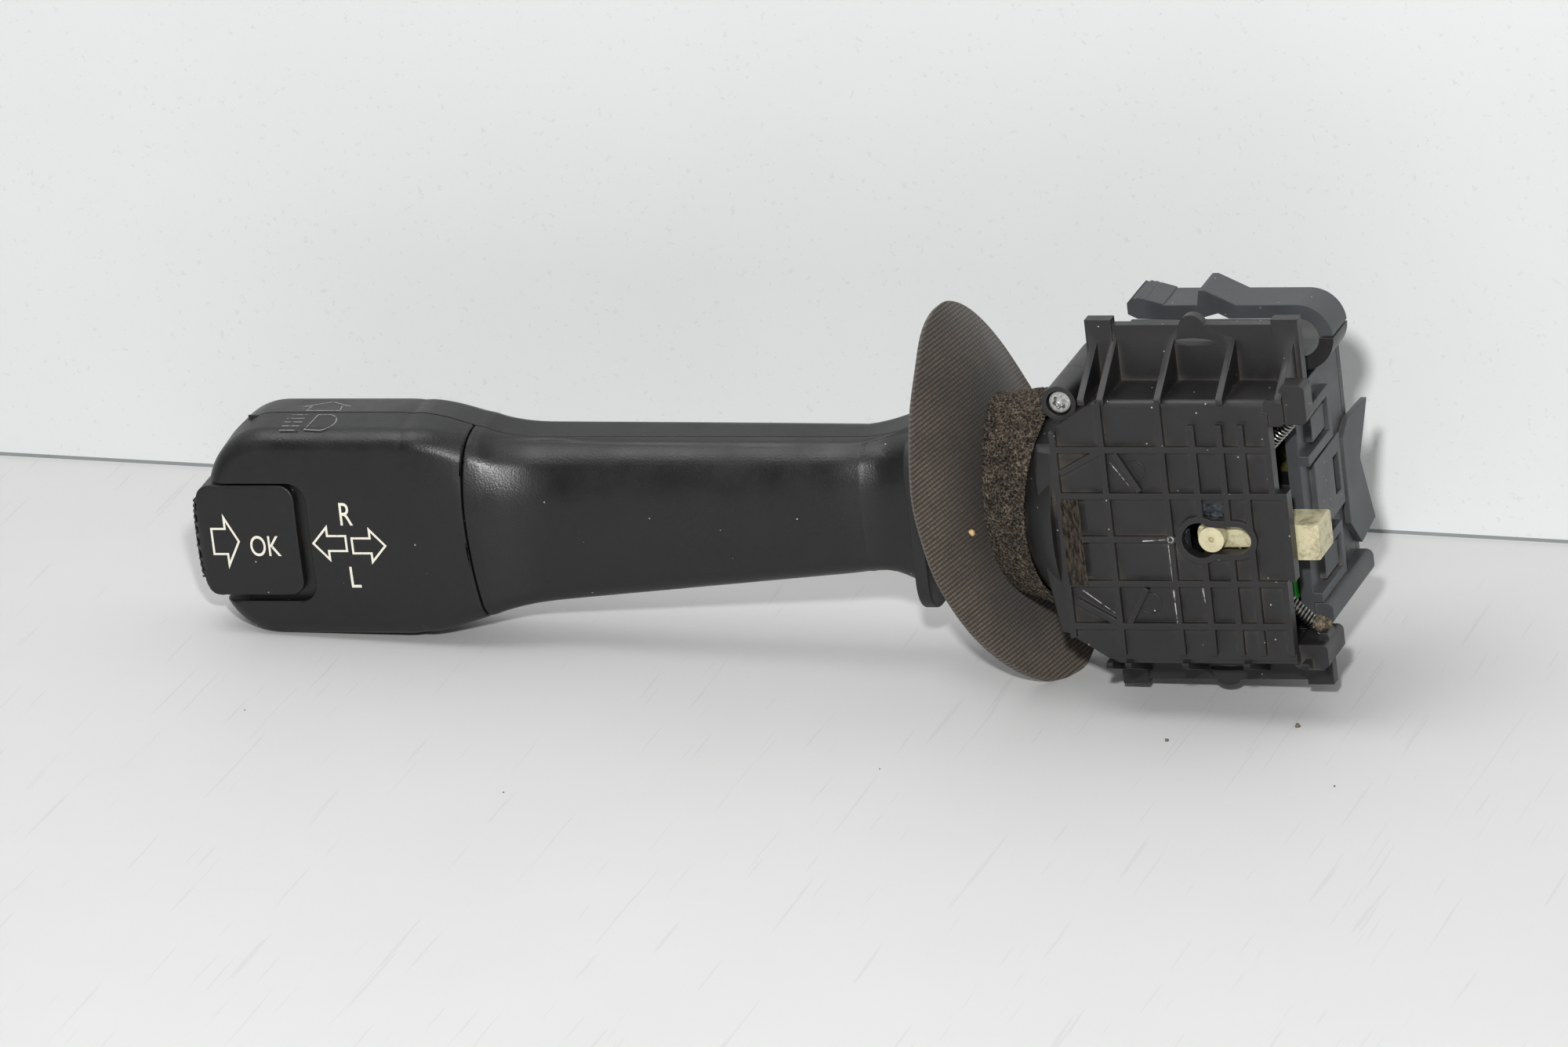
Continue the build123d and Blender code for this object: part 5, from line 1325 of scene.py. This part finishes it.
class STALK_OT_grease(bpy.types.Operator):
    """Grease left in the slot and in the cell above it"""

    bl_idname = "stalk.grease"
    bl_label = "Grease"

    def execute(self, context):
        for name, centre, size, height in (
            ("grease_cell", (17.4, 3.9), (1.9, 1.25), 0.35),
            ("grease_slot", (12.1, -1.2), (0.62, 1.7), 0.5),
        ):
            bm = bmesh.new()
            bmesh.ops.create_grid(bm, x_segments=26, y_segments=22, size=1.0)
            for vert in bm.verts:
                x, y = vert.co.x, vert.co.y
                round_off = max(0.0, 1 - max(abs(x), abs(y)) ** 4)
                lump = 0.6 + 0.6 * noise.noise(Vector((x * 1.9, y * 1.9, centre[0])))
                vert.co = Vector((x * size[0] * MM, y * size[1] * MM, height * MM * round_off * lump))
            bmesh.ops.solidify(bm, geom=list(bm.faces), thickness=0.1 * MM)
            outward(bm)
            depth = PLATE_FLOOR_Y if name == "grease_cell" else PLATE_FLOOR_Y + 1.2
            bm.transform(front_place(centre[0], centre[1], depth))
            on_housing(name, bm, "grease", 180)
        return {"FINISHED"}


# ---- Stage --------------------------------------------------------------------------------


def camera_origin():
    """Where the camera stands."""
    return at(*CAMERA_TARGET) + CAMERA_BACK * CAMERA_DISTANCE * MM


def pixel_on_floor(u, v, point, normal):
    """Where the sight line through an image point meets the floor."""
    focal = CAMERA_LENS / SENSOR * IMAGE_SIZE[0]
    ray = CAMERA_RIGHT * (u - IMAGE_SIZE[0] / 2) + CAMERA_UP * (IMAGE_SIZE[1] / 2 - v) - CAMERA_BACK * focal
    origin = camera_origin()
    return origin + ray * ((point - origin).dot(normal) / ray.dot(normal))


def sheet_material(name, colour):
    """Scuffed white plastic sheet."""
    material, tree, coordinates = new_material(name)
    scuff = grains(tree, coordinates, 40 * MM, 8.0, 0.6)
    # Fine scratches, a few centimetres long.
    drawn = mapped(tree, coordinates, (0, 0, math.radians(38)), (1, 0.03, 1))
    lines = fade(tree, grains(tree, drawn, 1.1 * MM), (0.66, 1), (0.7, 0.93))
    tone = ramp(tree, scuff, [(0.3, shade(colour, 0.975)), (0.7, colour)])
    inputs = {
        "Roughness": 0.5,
        "IOR": 1.45,
        "Specular IOR Level": 0.2,
        "Base Color": mix(tree, 1.0, tone, lines, "MULTIPLY"),
    }
    return finish_material(material, inputs, one_sided=True)


def add_lamp(name, place, target, size, power):
    """Round soft lamp that shines at the target."""
    lamp = bpy.data.lights.new(name, "AREA")
    lamp.shape = "DISK"
    lamp.size = size
    lamp.energy = power
    holder = bpy.data.objects.new(name, lamp)
    holder.location = place
    holder.rotation_euler = (place - target).to_track_quat("Z", "Y").to_euler()
    bpy.context.scene.collection.objects.link(holder)


class STALK_OT_stage(bpy.types.Operator):
    """Floor, backdrop, lamps and camera"""

    bl_idname = "stalk.stage"
    bl_label = "Stage"

    def execute(self, context):
        scene = context.scene
        settings = scene.stage_finish
        tip, housing = (at(*p) for p in FLOOR_CONTACTS)
        along = (housing - tip).normalized()
        normal = along.cross(Vector((0, 1, 0))).normalized()
        normal = normal if normal.z > 0 else -normal
        left, right = (pixel_on_floor(u, v, tip, normal) for u, v in WALL_FOOT_PIXELS)
        run = (right - left).normalized()
        back = normal.cross(run).normalized()
        centre = (left + right) / 2
        ahead = -1 if (at(*CAMERA_TARGET) - centre).dot(back) < 0 else 1

        def sheet(name, corners, material):
            """One face that is seen from the camera's side, with corners along run, back and normal."""
            bm = bmesh.new()
            spots = [centre + run * x + back * y + normal * z for x, y, z in corners]
            face = bm.faces.new([bm.verts.new(spot) for spot in spots])
            bm.normal_update()
            if face.normal.dot(camera_origin() - centre) < 0:
                face.normal_flip()
            add_piece(name, bm, material)

        half, front = SHEET_HALF, SHEET_HALF * ahead
        flat = [(-half, 0, 0), (half, 0, 0), (half, front, 0), (-half, front, 0)]
        upright = [(-half, 0, 0), (half, 0, 0), (half, 0, WALL_HEIGHT), (-half, 0, WALL_HEIGHT)]
        sheet("floor_sheet", flat, sheet_material("floor_sheet_white_pvc", tuple(settings.floor_colour)))
        sheet("back_panel", upright, sheet_material("back_panel_white_pvc", tuple(settings.wall_colour)))
        # A thin grey strip paints the shadow in the joint between floor and backdrop.
        low, high, near = 0.1 * MM, 0.75 * MM, 0.3 * MM * ahead
        strip = [(-half, near, low), (half, near, low), (half, near, high), (-half, near, high)]
        sheet("foot_joint_shadow", strip, sheet_material("joint_shadow_grey", linear("#8d9191")))
        crumbs = bmesh.new()
        for u, v, size in FLOOR_CRUMBS:
            made = bmesh.ops.create_icosphere(crumbs, subdivisions=2, radius=size * MM)["verts"]
            place = pixel_on_floor(u, v, tip, normal)
            for vert in made:
                rough = noise.noise(vert.co / (0.3 * MM) + Vector((u, v, 0)))
                vert.co = place + vert.co * (1 + 0.5 * rough) + normal * size * 0.5 * MM
        dirt = sheet_material("dry_dirt_crumb", linear("#6d6557"))
        add_piece("floor_crumbs", crumbs, dirt, sharp=180)
        world = bpy.data.worlds.new("even_light")
        scene.world = world
        world.use_nodes = True
        around = world.node_tree.nodes["Background"].inputs
        around["Color"].default_value = linear("#f4f6f8")
        around["Strength"].default_value = settings.ambient
        origin, target = camera_origin(), at(*CAMERA_TARGET)
        key_place = target + CAMERA_BACK * 1.0 + CAMERA_UP * 0.13 - CAMERA_RIGHT * 0.012
        add_lamp("key_lamp", key_place, target, KEY_SIZE, settings.key_power)
        add_lamp("top_lamp", target + TOP_LAMP_FROM_TARGET, target, TOP_SIZE, settings.top_power)
        lens = bpy.data.cameras.new("camera")
        lens.lens = CAMERA_LENS
        lens.sensor_width = SENSOR
        lens.clip_start = 0.01
        camera = bpy.data.objects.new("camera", lens)
        sides = [side.normalized() for side in (CAMERA_RIGHT, CAMERA_UP, CAMERA_BACK)]
        turn = Matrix(sides).transposed()
        camera.matrix_world = Matrix.Translation(origin) @ turn.to_4x4()
        scene.collection.objects.link(camera)
        scene.camera = camera
        scene.view_settings.view_transform = "Standard"
        return {"FINISHED"}


class STALK_PT_panel(bpy.types.Panel):
    """Buttons for the pieces and fields for their finishes"""

    bl_idname = "STALK_PT_panel"
    bl_label = "Stalk Switch"
    bl_space_type = "VIEW_3D"
    bl_region_type = "UI"
    bl_category = "Stalk Switch"

    def draw(self, context):
        layout = self.layout
        for name, group in SETTINGS.items():
            box = layout.box()
            box.label(text=group.__doc__)
            for field in group.__annotations__:
                box.prop(getattr(context.scene, name), field)
        for operator in OPERATORS:
            layout.operator(operator.bl_idname)


OPERATORS = (
    STALK_OT_stage,
    STALK_OT_covers,
    STALK_OT_marks,
    STALK_OT_inner_parts,
    STALK_OT_housing,
    STALK_OT_finger,
    STALK_OT_springs,
    STALK_OT_cover_screw,
    STALK_OT_seal,
    STALK_OT_foam_ring,
    STALK_OT_grease,
)


def register():
    for group in SETTINGS.values():
        bpy.utils.register_class(group)
    for name, group in SETTINGS.items():
        setattr(bpy.types.Scene, name, PointerProperty(type=group))
    for operator in OPERATORS:
        bpy.utils.register_class(operator)
    bpy.utils.register_class(STALK_PT_panel)


def unregister():
    bpy.utils.unregister_class(STALK_PT_panel)
    for operator in reversed(OPERATORS):
        bpy.utils.unregister_class(operator)
    for name in SETTINGS:
        delattr(bpy.types.Scene, name)
    for group in reversed(SETTINGS.values()):
        bpy.utils.unregister_class(group)


def main():
    register()
    for operator in OPERATORS:
        group, name = operator.bl_idname.split(".")
        getattr(getattr(bpy.ops, group), name)()


if __name__ == "__main__":
    main()
